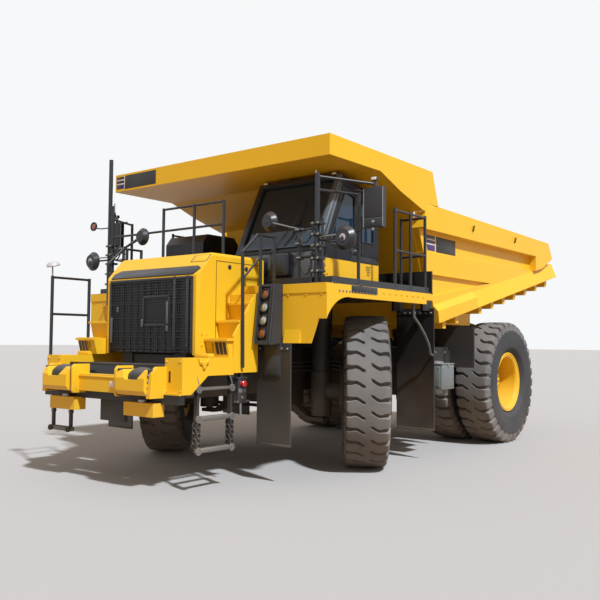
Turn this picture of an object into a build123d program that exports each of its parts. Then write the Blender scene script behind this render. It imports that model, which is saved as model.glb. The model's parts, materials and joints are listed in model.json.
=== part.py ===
from build123d import *
from math import atan2, cos, degrees, hypot, radians, sin, tan
import os

# Rigid-frame mining dump truck, millimetres, +X forward, +Y left, +Z up.
# Stations (x) are counted from the rear axle while modelling; every piece is
# shifted by SHIFT_X when it is written, so the origin lies at the middle of
# the truck's length, on the ground.

# ---- overall layout -------------------------------------------------------
WHEELBASE = 4300.0
FRONT = WHEELBASE             # stations of the front half are counted from the front axle
NOSE_X = FRONT + 3190         # front of the bumper horns
TAIL_X = -2690.0              # end of the bed
SHIFT_X = -(NOSE_X + TAIL_X) / 2
REAR_TRACK = 3080.0           # between the middles of the twin wheels
TWIN_SPACING = 760.0          # between the two tyres of a pair
KINGPIN_Y = 1130.0
WHEEL_OFFSET = 627.5          # kingpin to the middle of the front tyre
STEER_REST = 35.5             # front wheels as parked, turned to the left
GAP = 0.3                     # running clearance of fitted pieces

# ---- tyres and rims -------------------------------------------------------
TYRE_R = 1080.0               # to the lugs' tips
TREAD_DEPTH = 55.0
LUGS = 24                     # on each shoulder
LUG_ROOT = 230.0              # how deep in the casing a lug begins
LUG_SHARE = 0.72              # of the pitch, the rest is the groove
TYRE_WIDTH = 655.0
TREAD_WIDTH = 590.0
RIM_R = 445.0                 # bead seat
FLANGE_R = 530.0
RIM_WIDTH = 432.0             # between the flanges
RIM_WALL = 42.0
FLANGE_T = 22.0
AXLE_Z = TYRE_R

# ---- frame ----------------------------------------------------------------
RAIL_IN = 420.0
RAIL_OUT = 620.0
RAIL_TOP = 1800.0
RAIL_FRONT_TOP = 1620.0
RAIL_FRONT_BOTTOM = 1050.0
RAIL_REAR_X = -1620.0
RAIL_FRONT_X = FRONT + 2200

# ---- bed ------------------------------------------------------------------
PIVOT_X, PIVOT_Z = -1450.0, 2000.0
PIN_R = 60.0
BED_FRONT_X, BED_FRONT_Z = FRONT - 1740, 2070.0     # lower front corner
TAIL_Z = 3170.0
BED_HALF = 2120.0             # outside of the side rails
BED_INNER = 1935.0            # inside of the side walls
BED_PLATE = 50.0
FLOOR_HALF = 1750.0
CHINE_RISE = 250.0            # floor to chine, square to the floor
# ledge along the chine, outside the wall: outer edge and its height above the floor
LEDGE_FRONT = (2120.0, 200.0)
LEDGE_REAR = (2120.0, 25.0)
LEDGE_TOP = 300.0             # where it leaves the wall
RIB_FACE = 2040.0             # outer face of the wall's middle and lower ribs
LEDGE_STEP_X = 1160.0         # where the wide rear ledge begins
BED_TOP = 3900.0
RIB_STATIONS = (2250, 1800, 900, 400, -100, -600, -1150, -1700, -2250)
RIB_WIDTH, RIB_DEPTH, RIB_HALF = 100.0, 130.0, 2040.0
WEDGE_FRONT, WEDGE_REAR, WEDGE_BOTTOM, WEDGE_Y = FRONT - 1830, 700.0, 2085.0, 1710.0
BEAM_BOTTOM = 1860.0
BEAM_IN, BEAM_OUT = 425.0, 615.0
WALL_TOP_X, WALL_TOP_Z = FRONT - 1230, 3530.0
CANOPY_X, CANOPY_TOP, CANOPY_LIP = FRONT + 1200, 4425.0, 4150.0
CANOPY_HALF = 2120.0
CANOPY_PLATE = 30.0

# ---- decks, hood, cab -----------------------------------------------------
DECK_HALF = 2297.5
DECK_TOP = 2500.0
DECK_T = 100.0
DECK_REAR, DECK_FRONT = FRONT - 1180, FRONT + 1500
HOOD_HALF = 900.0
HOOD_FRONT, HOOD_REAR = FRONT + 2280, FRONT + 1040
HOOD_TOP, HOOD_BOTTOM = 2905.0, 1600.0
HOOD_SHEET = 30.0
HOOD_EDGE = 35.0              # chamfer of its upright and top edges
HOOD_CHAMFER_X, HOOD_CHAMFER_Z = FRONT + 2010, 2600.0
GRILLE_HALF = 815.0
GRILLE_BARS = (1690, 1830, 1900, 2080, 2270, 2440, 2545)       # heights of its cross bars
GRILLE_RODS = 11
CAB_REAR, CAB_FRONT = FRONT - 550, FRONT + 930
CAB_RIGHT, CAB_LEFT = 280.0, 1750.0
CAB_FLOOR = DECK_TOP
CAB_SILL = 3000.0
CAB_WALL = 50.0
SCREEN_TOP_X, ROOF_FRONT_Z = FRONT + 400, 4100.0
ROOF_REAR_X, ROOF_REAR_Z = FRONT - 500, 3880.0
MAST_X, MAST_Y = FRONT + 1320, 2020.0
MIRROR_OUT = 2697.5           # outer edge of the mirrors
RAIL_TUBE, CROSS_TUBE = 22.0, 17.0            # handrail posts and rails, radius

# ---- hoists ---------------------------------------------------------------
HOIST_Y = 725.0
HOIST_FOOT = (1200.0, 720.0)
HOIST_HEAD = (1450.0, 2130.0)
HOIST_EYE = 60.0              # half the width of its eyes
HOIST_PIN_R = 38.0
HOIST_EYE_R = 75.0
BARREL_R, STAGE_R, ROD_R = 100.0, 78.0, 55.0

os.makedirs("parts", exist_ok=True)


# ---- small helpers, used inside a part's own block --------------------------
def side_profile(points, y0, y1, mode=Mode.ADD):
    """A closed outline in x and z, as thick as from y0 to y1."""
    with BuildSketch(Plane(origin=(0, y1, 0), x_dir=(1, 0, 0), z_dir=(0, -1, 0))) as outline:
        with BuildLine():
            Polyline(*points, close=True)
        make_face()
    extrude(outline.sketch, amount=y1 - y0, mode=mode)


def cross_profile(points, x0, x1, mode=Mode.ADD):
    """A closed outline in y and z, as thick as from x0 to x1."""
    with BuildSketch(Plane(origin=(x0, 0, 0), x_dir=(0, 1, 0), z_dir=(1, 0, 0))) as outline:
        with BuildLine():
            Polyline(*points, close=True)
        make_face()
    extrude(outline.sketch, amount=x1 - x0, mode=mode)


def block(x0, x1, y0, y1, z0, z1, mode=Mode.ADD):
    """A box between two corners."""
    with Locations(((x0 + x1) / 2, (y0 + y1) / 2, (z0 + z1) / 2)):
        Box(abs(x1 - x0), abs(y1 - y0), abs(z1 - z0), mode=mode)


def bar(start, end, radius, mode=Mode.ADD):
    """A round bar between two points."""
    line = Vector(*end) - Vector(*start)
    with BuildSketch(Plane(origin=start, z_dir=line.normalized())) as section:
        Circle(radius)
    extrude(section.sketch, amount=line.length, mode=mode)


def turned(points):
    """A closed outline in y and radius, turned about the Y axis."""
    with BuildSketch(Plane.YZ) as outline:
        with BuildLine():
            Polyline(*points, close=True)
        make_face()
    revolve(outline.sketch, axis=Axis.Y)


def write(part, name):
    """Shift a finished piece to the truck's middle and write it."""
    moved = part.moved(Location((SHIFT_X, 0, 0)))
    moved.label = name
    export_step(moved, f"parts/{name}.step")


def write_pair(part, name):
    """Write a left-hand piece and its mirror image."""
    write(part, f"{name}_left")
    write(part.mirror(Plane.XZ), f"{name}_right")


def floor_z(x):
    """Underside of the bed floor at station x."""
    return BED_FRONT_Z + (BED_FRONT_X - x) * (TAIL_Z - BED_FRONT_Z) / (BED_FRONT_X - TAIL_X)


# ---- wheels ---------------------------------------------------------------
def lug_ring(phase):
    """Outline of one shoulder's lugs: two points at each tip, one in each groove."""
    pitch = 360 / LUGS
    points = []
    for lug in range(LUGS):
        middle = radians(phase + lug * pitch)
        half = radians(pitch * LUG_SHARE / 2)
        groove = middle + radians(pitch / 2)
        points += [(TYRE_R * cos(middle - half), TYRE_R * sin(middle - half)),
                   (TYRE_R * cos(middle + half), TYRE_R * sin(middle + half)),
                   ((TYRE_R - TREAD_DEPTH) * cos(groove), (TYRE_R - TREAD_DEPTH) * sin(groove))]
    return points


def on_ring(corner, y, radius):
    """A corner of the flat-sided casing about the Y axis."""
    turn = radians(corner * 360 / LUGS)
    return (radius * cos(turn), y, radius * sin(turn))


def make_tyre(lugged):
    """A tyre about its own middle: flat-sided casing with its bore, lugs on both shoulders."""
    half, shoulder, bead = TYRE_WIDTH / 2, TREAD_WIDTH / 2 - 25, RIM_WIDTH / 2 - GAP
    casing_r = TYRE_R - TREAD_DEPTH - 15 if lugged else TYRE_R
    bore_r = (RIM_R + GAP) / cos(radians(180 / LUGS))
    # half of the casing's closed section: distance from the middle, radius
    section = [(bead, bore_r), (bead, FLANGE_R + 5), (half, FLANGE_R + 260), (shoulder, casing_r)]
    section += [(-y, radius) for y, radius in reversed(section)]
    faces = []
    for (y0, r0), (y1, r1) in zip(section, section[1:] + section[:1]):
        for corner in range(LUGS):
            faces.append(Face(Wire.make_polygon([
                on_ring(corner, y0, r0), on_ring(corner + 1, y0, r0),
                on_ring(corner + 1, y1, r1), on_ring(corner, y1, r1)])))
    with BuildPart() as tyre:
        add(Solid(Shell(faces)))
        if lugged:
            for s in (1, -1):
                with BuildSketch(Plane.XZ) as lugs:
                    with BuildLine():
                        Polyline(*lug_ring(-90 + s * 90 / LUGS), close=True)
                    make_face()
                    RegularPolygon(TYRE_R - LUG_ROOT, LUGS, mode=Mode.SUBTRACT)
                extrude(lugs.sketch, amount=-s * shoulder)
    return tyre.part


def rim_barrel(middle):
    """Section of one rim: bead seat between two flanges."""
    inner, edge = RIM_R - RIM_WALL, RIM_WIDTH / 2
    return [
        (middle - edge - FLANGE_T, inner), (middle - edge - FLANGE_T, FLANGE_R),
        (middle - edge, FLANGE_R), (middle - edge, RIM_R),
        (middle + edge, RIM_R), (middle + edge, FLANGE_R),
        (middle + edge + FLANGE_T, FLANGE_R), (middle + edge + FLANGE_T, inner)]


lugged_tyre = make_tyre(True)
plain_tyre = make_tyre(False)         # between the axle and the outer wheel

FRONT_DISC = (60.0, 100.0)            # wheel disc, outboard of the tyre's middle
FRONT_HUB_R = 210.0
with BuildPart() as front_rim:
    turned(rim_barrel(0))
    bar((0, FRONT_DISC[0], 0), (0, FRONT_DISC[1], 0), RIM_R - RIM_WALL + 5)
    bar((0, FRONT_DISC[0] - 20, 0), (0, FRONT_DISC[1] + 90, 0), FRONT_HUB_R)

FINAL_DRIVE_R = 300.0
FINAL_DRIVE_IN, FINAL_DRIVE_OUT = -300.0, 330.0
SPACER_HALF = TWIN_SPACING / 2 - RIM_WIDTH / 2 - FLANGE_T + 5
with BuildPart() as rear_rims:
    for middle in (-TWIN_SPACING / 2, TWIN_SPACING / 2):
        turned(rim_barrel(middle))
    turned([(-SPACER_HALF, RIM_R - RIM_WALL), (-SPACER_HALF, RIM_R),
            (SPACER_HALF, RIM_R), (SPACER_HALF, RIM_R - RIM_WALL)])
    # disc that carries both rims, and the final drive's case with its stepped cover
    bar((0, -20, 0), (0, 20, 0), RIM_R - RIM_WALL + 5)
    bar((0, FINAL_DRIVE_IN, 0), (0, FINAL_DRIVE_OUT, 0), FINAL_DRIVE_R)
    bar((0, FINAL_DRIVE_OUT - 5, 0), (0, FINAL_DRIVE_OUT + 30, 0), FINAL_DRIVE_R - 90)
    bar((0, FINAL_DRIVE_OUT + 25, 0), (0, FINAL_DRIVE_OUT + 50, 0), 60)


def place_front(part, side):
    """Set a wheel that faces +Y at a front kingpin, turned as parked."""
    turn = STEER_REST if side > 0 else STEER_REST + 180
    outboard = Vector(0, WHEEL_OFFSET, 0).rotate(Axis.Z, turn)
    return part.moved(Location(
        (WHEELBASE + outboard.X, side * KINGPIN_Y + outboard.Y, AXLE_Z), (0, 0, turn)))


for side, name in ((1, "left"), (-1, "right")):
    write(place_front(lugged_tyre, side), f"tyre_front_{name}")
    write(place_front(front_rim.part, side), f"rim_front_{name}")
    face = 0 if side > 0 else 180
    for row, middle, tyre in (("outer", REAR_TRACK / 2 + TWIN_SPACING / 2, lugged_tyre),
                              ("inner", REAR_TRACK / 2 - TWIN_SPACING / 2, plain_tyre)):
        write(tyre.moved(Location((0, side * middle, AXLE_Z), (0, 0, face))),
              f"tyre_rear_{row}_{name}")
    write(rear_rims.part.moved(Location((0, side * REAR_TRACK / 2, AXLE_Z), (0, 0, face))),
          f"rims_rear_{name}")

# ---- steering and front suspension ------------------------------------------
KNUCKLE_R = 150.0
KNUCKLE_Z = (720.0, 1350.0)
DRUM_R = 330.0
STRUT_R = 130.0
STRUT_TOP = 2250.0
STEER_ARM = 450.0             # kingpin to the tie rod's pin
ARM_Z = (790.0, 840.0)
TIE_PIN_R = 28.0
TIE_R = 27.0
TIE_Z = 755.0


def make_knuckle(side):
    """Steering knuckle about the kingpin at the origin, wheels straight."""
    with BuildPart() as knuckle:
        bar((0, 0, KNUCKLE_Z[0]), (0, 0, KNUCKLE_Z[1]), KNUCKLE_R)
        bar((0, 0, AXLE_Z), (0, WHEEL_OFFSET + FRONT_DISC[0] - 20 - GAP, AXLE_Z), 140)
        bar((0, 260, AXLE_Z), (0, WHEEL_OFFSET - 60, AXLE_Z), DRUM_R)
        block(-STEER_ARM, 0, -60, 60, *ARM_Z)
        with Locations((-STEER_ARM, 0, (ARM_Z[0] + ARM_Z[1]) / 2)):
            Cylinder(75, ARM_Z[1] - ARM_Z[0])
        # pin that hangs from the arm's end into the tie rod's eye
        bar((-STEER_ARM, 0, TIE_Z - 40), (-STEER_ARM, 0, ARM_Z[0] + 5), TIE_PIN_R)
    if side < 0:
        return knuckle.part.mirror(Plane.XZ)
    return knuckle.part


for side, name in ((1, "left"), (-1, "right")):
    write(make_knuckle(side).moved(
        Location((WHEELBASE, side * KINGPIN_Y, 0), (0, 0, STEER_REST))), f"knuckle_{name}")

pin_dx = -STEER_ARM * cos(radians(STEER_REST))
pin_dy = -STEER_ARM * sin(radians(STEER_REST))
with BuildPart() as tie_rod:
    ends = [(WHEELBASE + pin_dx, s * KINGPIN_Y + pin_dy, TIE_Z) for s in (1, -1)]
    bar(ends[1], ends[0], TIE_R)
    for end in ends:
        with Locations(end):
            Cylinder(60, 60)
    for end in ends:
        with Locations(end):
            Cylinder(TIE_PIN_R + GAP, 70, mode=Mode.SUBTRACT)
write(tie_rod.part, "tie_rod")

with BuildPart() as front_suspension:
    # beam under the engine, towers, strut tubes and lower arms
    block(WHEELBASE - 150, WHEELBASE + 150, -RAIL_OUT, RAIL_OUT, 860, RAIL_FRONT_BOTTOM)
    for s in (1, -1):
        bar((WHEELBASE, s * KINGPIN_Y, KNUCKLE_Z[1] + GAP),
            (WHEELBASE, s * KINGPIN_Y, STRUT_TOP), STRUT_R)
        y0, y1 = sorted((s * RAIL_OUT, s * (KINGPIN_Y - 60)))
        block(WHEELBASE - 110, WHEELBASE + 110, y0, y1, 1880, 2180)
        y0, y1 = sorted((s * RAIL_OUT, s * (RAIL_OUT + 60)))
        block(WHEELBASE - 160, WHEELBASE + 160, y0, y1, 860, 2180)
        cross_profile([(s * 400, 860), (s * 400, 1000), (s * 640, 900), (s * 930, 700),
                       (s * (KINGPIN_Y + 90), 695), (s * (KINGPIN_Y + 90), 640), (s * 950, 640)],
                      WHEELBASE - 90, WHEELBASE + 90)
        # ball stud into the knuckle's foot
        bar((WHEELBASE, s * KINGPIN_Y, 680), (WHEELBASE, s * KINGPIN_Y, KNUCKLE_Z[0] - GAP), 50)
write(front_suspension.part, "front_suspension")

# ---- frame ----------------------------------------------------------------
RAIL_SIDE = [
    (RAIL_REAR_X, 1480), (RAIL_REAR_X, RAIL_TOP), (FRONT - 1500, RAIL_TOP),
    (FRONT - 1150, RAIL_FRONT_TOP), (RAIL_FRONT_X, RAIL_FRONT_TOP),
    (RAIL_FRONT_X, RAIL_FRONT_BOTTOM), (FRONT - 1400, RAIL_FRONT_BOTTOM),
    (1250, 1120), (800, 1420), (-700, 1420)]
# crossmembers: middle station, length, bottom, top
CROSSMEMBERS = [
    (-1500, 180, 1500, 1780),
    (950, 200, 1480, 1760),
    (FRONT - 1350, 220, 1080, 1600),
    (FRONT + 2080, 200, 1080, 1600)]
with BuildPart() as frame_rails:
    for s in (1, -1):
        y0, y1 = sorted((s * RAIL_IN, s * RAIL_OUT))
        side_profile(RAIL_SIDE, y0, y1)
        # lugs that hold the bed's hinge pin
        y0, y1 = sorted((s * (BEAM_OUT + 8), s * (BEAM_OUT + 93)))
        side_profile([(PIVOT_X - 150, PIVOT_Z + 60), (PIVOT_X - 60, PIVOT_Z + 150),
                      (PIVOT_X + 60, PIVOT_Z + 150), (PIVOT_X + 150, PIVOT_Z + 60),
                      (PIVOT_X + 420, RAIL_TOP - 250), (RAIL_REAR_X, RAIL_TOP - 250),
                      (RAIL_REAR_X, RAIL_TOP)], y0, y1)
        y0, y1 = sorted((s * (RAIL_OUT - 20), s * (BEAM_OUT + 20)))
        block(RAIL_REAR_X, PIVOT_X + 300, y0, y1, RAIL_TOP - 240, RAIL_TOP - 20)
        # pads that the bed rests on
        for x in (-400, 600, 1600, 2400):
            y0, y1 = sorted((s * (RAIL_IN + 20), s * (RAIL_OUT - 20)))
            block(x - 130, x + 130, y0, y1, RAIL_TOP - 5, BEAM_BOTTOM - GAP)
        # hanger, boss and pin at the foot of the hoist
        foot_x, foot_z = HOIST_FOOT
        y0, y1 = sorted((s * (RAIL_OUT - 30), s * RAIL_OUT))
        side_profile([(foot_x - 100, 1300), (foot_x - 75, foot_z - 30), (foot_x - 30, foot_z - 75),
                      (foot_x + 30, foot_z - 75), (foot_x + 75, foot_z - 30),
                      (foot_x + 180, 1180)], y0, y1)
        bar((foot_x, s * (RAIL_OUT - 20), foot_z),
            (foot_x, s * (HOIST_Y - HOIST_EYE - GAP), foot_z), HOIST_EYE_R - 5)
        bar((foot_x, s * (RAIL_OUT - 20), foot_z),
            (foot_x, s * (HOIST_Y + HOIST_EYE + 25), foot_z), HOIST_PIN_R)
        bar((foot_x, s * (HOIST_Y + HOIST_EYE + GAP), foot_z),
            (foot_x, s * (HOIST_Y + HOIST_EYE + 25), foot_z), HOIST_PIN_R + 15)
    for x, length, bottom, top in CROSSMEMBERS:
        block(x - length / 2, x + length / 2, -RAIL_OUT + 20, RAIL_OUT - 20, bottom, top)
    for s in (1, -1):
        bar((PIVOT_X, s * (BEAM_OUT - 5), PIVOT_Z), (PIVOT_X, s * (BEAM_OUT + 120), PIVOT_Z),
            PIN_R + GAP, mode=Mode.SUBTRACT)
write(frame_rails.part, "frame_rails")

AXLE_END = REAR_TRACK / 2 + FINAL_DRIVE_IN - GAP     # where the final drive's case begins
with BuildPart() as rear_axle:
    # banjo housing, tubes, drag arms and suspension cylinders
    bar((0, -380, AXLE_Z), (0, 380, AXLE_Z), 330)
    bar((0, -AXLE_END, AXLE_Z), (0, AXLE_END, AXLE_Z), 210)
    side_profile([(200, 900), (200, 1200), (1500, 1180), (1750, 1120), (1750, 980), (1500, 930)],
                 -160, 160)
    bar((1650, -RAIL_IN, 1050), (1650, RAIL_IN, 1050), 60)
    for s in (1, -1):
        bar((-480, s * 300, 1000), (-620, s * 300, 1700), 90)
        bar((-480, s * 240, 1000), (-480, s * 360, 1000), 100)
        block(-520, 0, min(s * 250, s * 350), max(s * 250, s * 350), 960, 1080)
        bar((-620, s * 240, 1700), (-620, s * RAIL_IN, 1700), 70)
write(rear_axle.part, "rear_axle")

with BuildPart() as engine_block:
    block(FRONT - 300, FRONT + 1450, -400, 400, 1080, 2350)
    for x in (FRONT + 400, FRONT + 1200):                # feet on the rails
        block(x - 90, x + 90, -RAIL_IN, RAIL_IN, 1250, 1400)
    block(FRONT - 1220, FRONT - 300, -300, 300, 1100, 1700)
write(engine_block.part, "engine_block")

# ---- hoists -----------------------------------------------------------------
foot, head = HOIST_FOOT, HOIST_HEAD
hoist_length = hypot(head[0] - foot[0], head[1] - foot[1])
ux, uz = (head[0] - foot[0]) / hoist_length, (head[1] - foot[1]) / hoist_length


def on_hoist(distance):
    """A point on the hoist's centre line, this far above its foot pin."""
    return (foot[0] + ux * distance, HOIST_Y, foot[1] + uz * distance)


BARREL_TOP = hoist_length - HOIST_EYE_R - 35
with BuildPart() as barrel:
    bar(on_hoist(130), on_hoist(BARREL_TOP), BARREL_R)
    bar(on_hoist(40), on_hoist(140), HOIST_EYE - 5)
    bar((foot[0], HOIST_Y - HOIST_EYE, foot[1]), (foot[0], HOIST_Y + HOIST_EYE, foot[1]), HOIST_EYE_R)
    bar((foot[0], HOIST_Y - HOIST_EYE - 10, foot[1]), (foot[0], HOIST_Y + HOIST_EYE + 10, foot[1]),
        HOIST_PIN_R + GAP, mode=Mode.SUBTRACT)
    bar(on_hoist(170), on_hoist(BARREL_TOP + 10), STAGE_R + GAP, mode=Mode.SUBTRACT)
with BuildPart() as stage:
    bar(on_hoist(180), on_hoist(BARREL_TOP + 15), STAGE_R)
    bar(on_hoist(210), on_hoist(BARREL_TOP + 30), ROD_R + GAP, mode=Mode.SUBTRACT)
with BuildPart() as rod:
    # the head's eye carries the middle of its own pin, between the bed's cheeks
    bar(on_hoist(220), on_hoist(hoist_length - 50), ROD_R)
    bar((head[0], HOIST_Y - HOIST_EYE, head[1]), (head[0], HOIST_Y + HOIST_EYE, head[1]), HOIST_EYE_R)
for piece, name in ((barrel, "hoist_barrel"), (stage, "hoist_stage"), (rod, "hoist_rod")):
    write_pair(piece.part, name)

# ---- bed --------------------------------------------------------------------
slope = atan2(TAIL_Z - BED_FRONT_Z, BED_FRONT_X - TAIL_X)
floor_length = hypot(TAIL_Z - BED_FRONT_Z, BED_FRONT_X - TAIL_X)
plate_rise = BED_PLATE / cos(slope)
with BuildPart() as bed_floor:
    side_profile([(BED_FRONT_X, floor_z(BED_FRONT_X)), (TAIL_X, TAIL_Z),
                  (TAIL_X, TAIL_Z + plate_rise), (BED_FRONT_X, floor_z(BED_FRONT_X) + plate_rise)],
                 -FLOOR_HALF, FLOOR_HALF)
    for s in (1, -1):
        # hoist head bracket: two cheeks with the pin's heads on their outsides
        for inner, outer, cap in ((HOIST_EYE + GAP, HOIST_EYE + 28, HOIST_EYE + 40),
                                  (-HOIST_EYE - GAP, -HOIST_EYE - 28, -HOIST_EYE - 40)):
            y0, y1 = sorted((s * (HOIST_Y + inner), s * (HOIST_Y + outer)))
            side_profile([(head[0] - 150, floor_z(head[0] - 150) + 10), (head[0] - 70, head[1] - 60),
                          (head[0] + 70, head[1] - 60), (head[0] + 150, floor_z(head[0] + 150) + 10)],
                         y0, y1)
            bar((head[0], s * (HOIST_Y + inner * 1.1), head[1]), (head[0], s * (HOIST_Y + cap), head[1]),
                HOIST_PIN_R + 10)
    # ribs across the underside, between and outside the lengthwise beams
    for x in RIB_STATIONS:
        # start, end, and how far it reaches above the floor's underside
        for y0, y1, top in ((-RIB_HALF, -FLOOR_HALF, -1), (-FLOOR_HALF, -BEAM_OUT - GAP, 10),
                            (-BEAM_IN + GAP, BEAM_IN - GAP, 10),
                            (BEAM_OUT + GAP, FLOOR_HALF, 10), (FLOOR_HALF, RIB_HALF, -1)):
            side_profile([(x - RIB_WIDTH / 2 - 15, floor_z(x - RIB_WIDTH / 2 - 15) + top),
                          (x - RIB_WIDTH / 2, floor_z(x) - RIB_DEPTH),
                          (x + RIB_WIDTH / 2, floor_z(x) - RIB_DEPTH),
                          (x + RIB_WIDTH / 2 + 15, floor_z(x + RIB_WIDTH / 2 + 15) + top)], y0, y1)
    # wedge below each side of the floor's front half
    for s in (1, -1):
        y0, y1 = sorted((s * (WEDGE_Y - 40), s * (WEDGE_Y + 40)))
        side_profile([(WEDGE_FRONT, floor_z(WEDGE_FRONT) + 5), (WEDGE_REAR, floor_z(WEDGE_REAR) + 5),
                      (WEDGE_REAR, WEDGE_BOTTOM), (WEDGE_FRONT, WEDGE_BOTTOM)], y0, y1)
write(bed_floor.part, "bed_floor")

# lengthwise beam under the floor, with the hinge pin's half in it
with BuildPart() as bed_beam:
    side_profile([(BED_FRONT_X - 100, BEAM_BOTTOM), (BED_FRONT_X - 40, floor_z(BED_FRONT_X - 40) - GAP),
                  (TAIL_X + 700, floor_z(TAIL_X + 700) - GAP), (PIVOT_X - 130, PIVOT_Z + 60),
                  (PIVOT_X - 130, PIVOT_Z - 60), (PIVOT_X - 60, PIVOT_Z - 130),
                  (PIVOT_X + 60, PIVOT_Z - 130), (PIVOT_X + 200, BEAM_BOTTOM)], BEAM_IN, BEAM_OUT)
    bar((PIVOT_X, GAP / 2, PIVOT_Z), (PIVOT_X, BEAM_OUT + 100, PIVOT_Z), PIN_R)
write_pair(bed_beam.part, "bed_beam")

chine = CHINE_RISE / cos(slope)
SIDE_OUTLINE = [
    (BED_FRONT_X, floor_z(BED_FRONT_X) + chine), (WALL_TOP_X, WALL_TOP_Z),
    (WALL_TOP_X - 70, WALL_TOP_Z + 250), (FRONT - 1710, BED_TOP), (-2230, BED_TOP - 60),
    (-2560, floor_z(-2560) + chine)]
FRAME_OUTLINE = [
    (FRONT - 1700, floor_z(FRONT - 1700) + chine), (WALL_TOP_X, WALL_TOP_Z),
    (WALL_TOP_X - 70, WALL_TOP_Z + 250), (FRONT - 1710, BED_TOP - 5), (-2230, BED_TOP - 65),
    (-2450, 3540), (-1900, floor_z(-1900) + chine)]
# the rail along the top and the column at its rear stand further out
RAIL_OUTLINE = [
    (FRONT - 1237, 3510), (WALL_TOP_X, WALL_TOP_Z), (WALL_TOP_X - 70, WALL_TOP_Z + 250),
    (FRONT - 1710, BED_TOP),
    (-2230, BED_TOP - 60), (-2450, 3540), (-1900, floor_z(-1900) + chine + 40),
    (-1525, floor_z(-1525) + chine + 40), (-1525, 3510)]
LEDGE_GAP = 12.0              # the ledge's box clears the ribs below it
EYE_STATIONS = (1350.0, -450.0)
LONG_RECESS = [(FRONT - 1510, 3170), (FRONT - 1410, 3505), (-1520, 3505), (-1520, 3230)]
LOW_RECESS = [(FRONT - 1660, 2500), (FRONT - 1560, 2840), (470, 2840), (900, 2780)]
# across the bed's slope, seen from the front: y, and the height above the floor
run = Plane(origin=(BED_FRONT_X, 0, BED_FRONT_Z), x_dir=(0, 1, 0),
            z_dir=(cos(slope), 0, -sin(slope)))
with BuildPart() as bed_side:
    side_profile(SIDE_OUTLINE, BED_INNER, BED_INNER + BED_PLATE)
    side_profile(FRAME_OUTLINE, BED_INNER + BED_PLATE - 5, RIB_FACE)
    side_profile(RAIL_OUTLINE, RIB_FACE - 5, BED_HALF)
    for recess in (LONG_RECESS, LOW_RECESS):
        side_profile(recess, BED_INNER + BED_PLATE, RIB_FACE + 5, mode=Mode.SUBTRACT)
    # sloping plate between floor and wall
    with BuildSketch(run):
        with BuildLine():
            Polyline((FLOOR_HALF + GAP, 0), (FLOOR_HALF + 25, 0), (BED_INNER + BED_PLATE, CHINE_RISE - 20),
                     (BED_INNER + BED_PLATE, CHINE_RISE + 30), (BED_INNER, CHINE_RISE + 30),
                     (FLOOR_HALF + GAP, BED_PLATE), close=True)
        make_face()
    extrude(amount=-floor_length)
    # box rib along the chine, steep ahead of the step and shallow behind it
    step = (BED_FRONT_X - LEDGE_STEP_X) / cos(slope)
    for (edge_y, edge_z), start, end in ((LEDGE_FRONT, 0, step + 5), (LEDGE_REAR, step, floor_length - 20)):
        with BuildSketch(run.offset(-start)) as ledge:
            with BuildLine():
                Polyline((FLOOR_HALF + 40, LEDGE_GAP), (edge_y, LEDGE_GAP), (edge_y, edge_z),
                         (RIB_FACE - 5, LEDGE_TOP), (BED_INNER + BED_PLATE - 5, LEDGE_TOP),
                         (BED_INNER + BED_PLATE - 5, CHINE_RISE - 25), close=True)
            make_face()
        extrude(ledge.sketch, amount=start - end)
    # lifting eyes on the rail
    for x in EYE_STATIONS:
        block(x - 25, x + 25, BED_HALF - 5, BED_HALF + 14, 3690, 3740)
write_pair(bed_side.part, "bed_side")

with BuildPart() as bed_front:
    side_profile([(BED_FRONT_X, floor_z(BED_FRONT_X) + plate_rise + GAP), (WALL_TOP_X, WALL_TOP_Z),
                  (FRONT - 1190, 3790), (FRONT - 1250, 3820), (WALL_TOP_X - 60, WALL_TOP_Z),
                  (BED_FRONT_X - 52, floor_z(BED_FRONT_X - 52) + plate_rise + GAP)],
                 -BED_INNER + GAP, BED_INNER - GAP)
    # lower corners, cut to the sloping plates
    for s in (1, -1):
        with BuildSketch(run) as corner:
            with BuildLine():
                Polyline((s * (FLOOR_HALF + GAP), -60), (s * (FLOOR_HALF + GAP), BED_PLATE + 1),
                         (s * (BED_INNER - 2), CHINE_RISE + 31), (s * (BED_INNER + 200), CHINE_RISE + 31),
                         (s * (BED_INNER + 200), -60), close=True)
            make_face()
        extrude(corner.sketch, amount=-900, both=True, mode=Mode.SUBTRACT)
    # canopy: plate, side plates, front lip
    side_profile([(CANOPY_X, CANOPY_LIP), (CANOPY_X, CANOPY_LIP + 40), (FRONT - 10, CANOPY_LIP + 46),
                  (FRONT - 550, 4005), (FRONT - 1250, 3835), (FRONT - 1250, 3775), (FRONT - 1190, 3790),
                  (FRONT - 550, 3964), (FRONT - 10, 4156)],
                 -CANOPY_HALF, CANOPY_HALF)
    for s in (1, -1):
        y0, y1 = sorted((s * (CANOPY_HALF - CANOPY_PLATE), s * CANOPY_HALF))
        side_profile([(CANOPY_X, CANOPY_LIP), (CANOPY_X, CANOPY_TOP), (FRONT - 1520, CANOPY_TOP - 5),
                      (FRONT - 1710, BED_TOP + GAP), (FRONT - 1400, BED_TOP + GAP),
                      (FRONT - 1290, WALL_TOP_Z + 250 + GAP), (FRONT - 1190, 3790),
                      (FRONT - 550, 3964), (FRONT - 10, 4156)], y0, y1)
    block(CANOPY_X - 30, CANOPY_X, -CANOPY_HALF, CANOPY_HALF, CANOPY_LIP, CANOPY_TOP)
write(bed_front.part, "bed_front")

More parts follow.
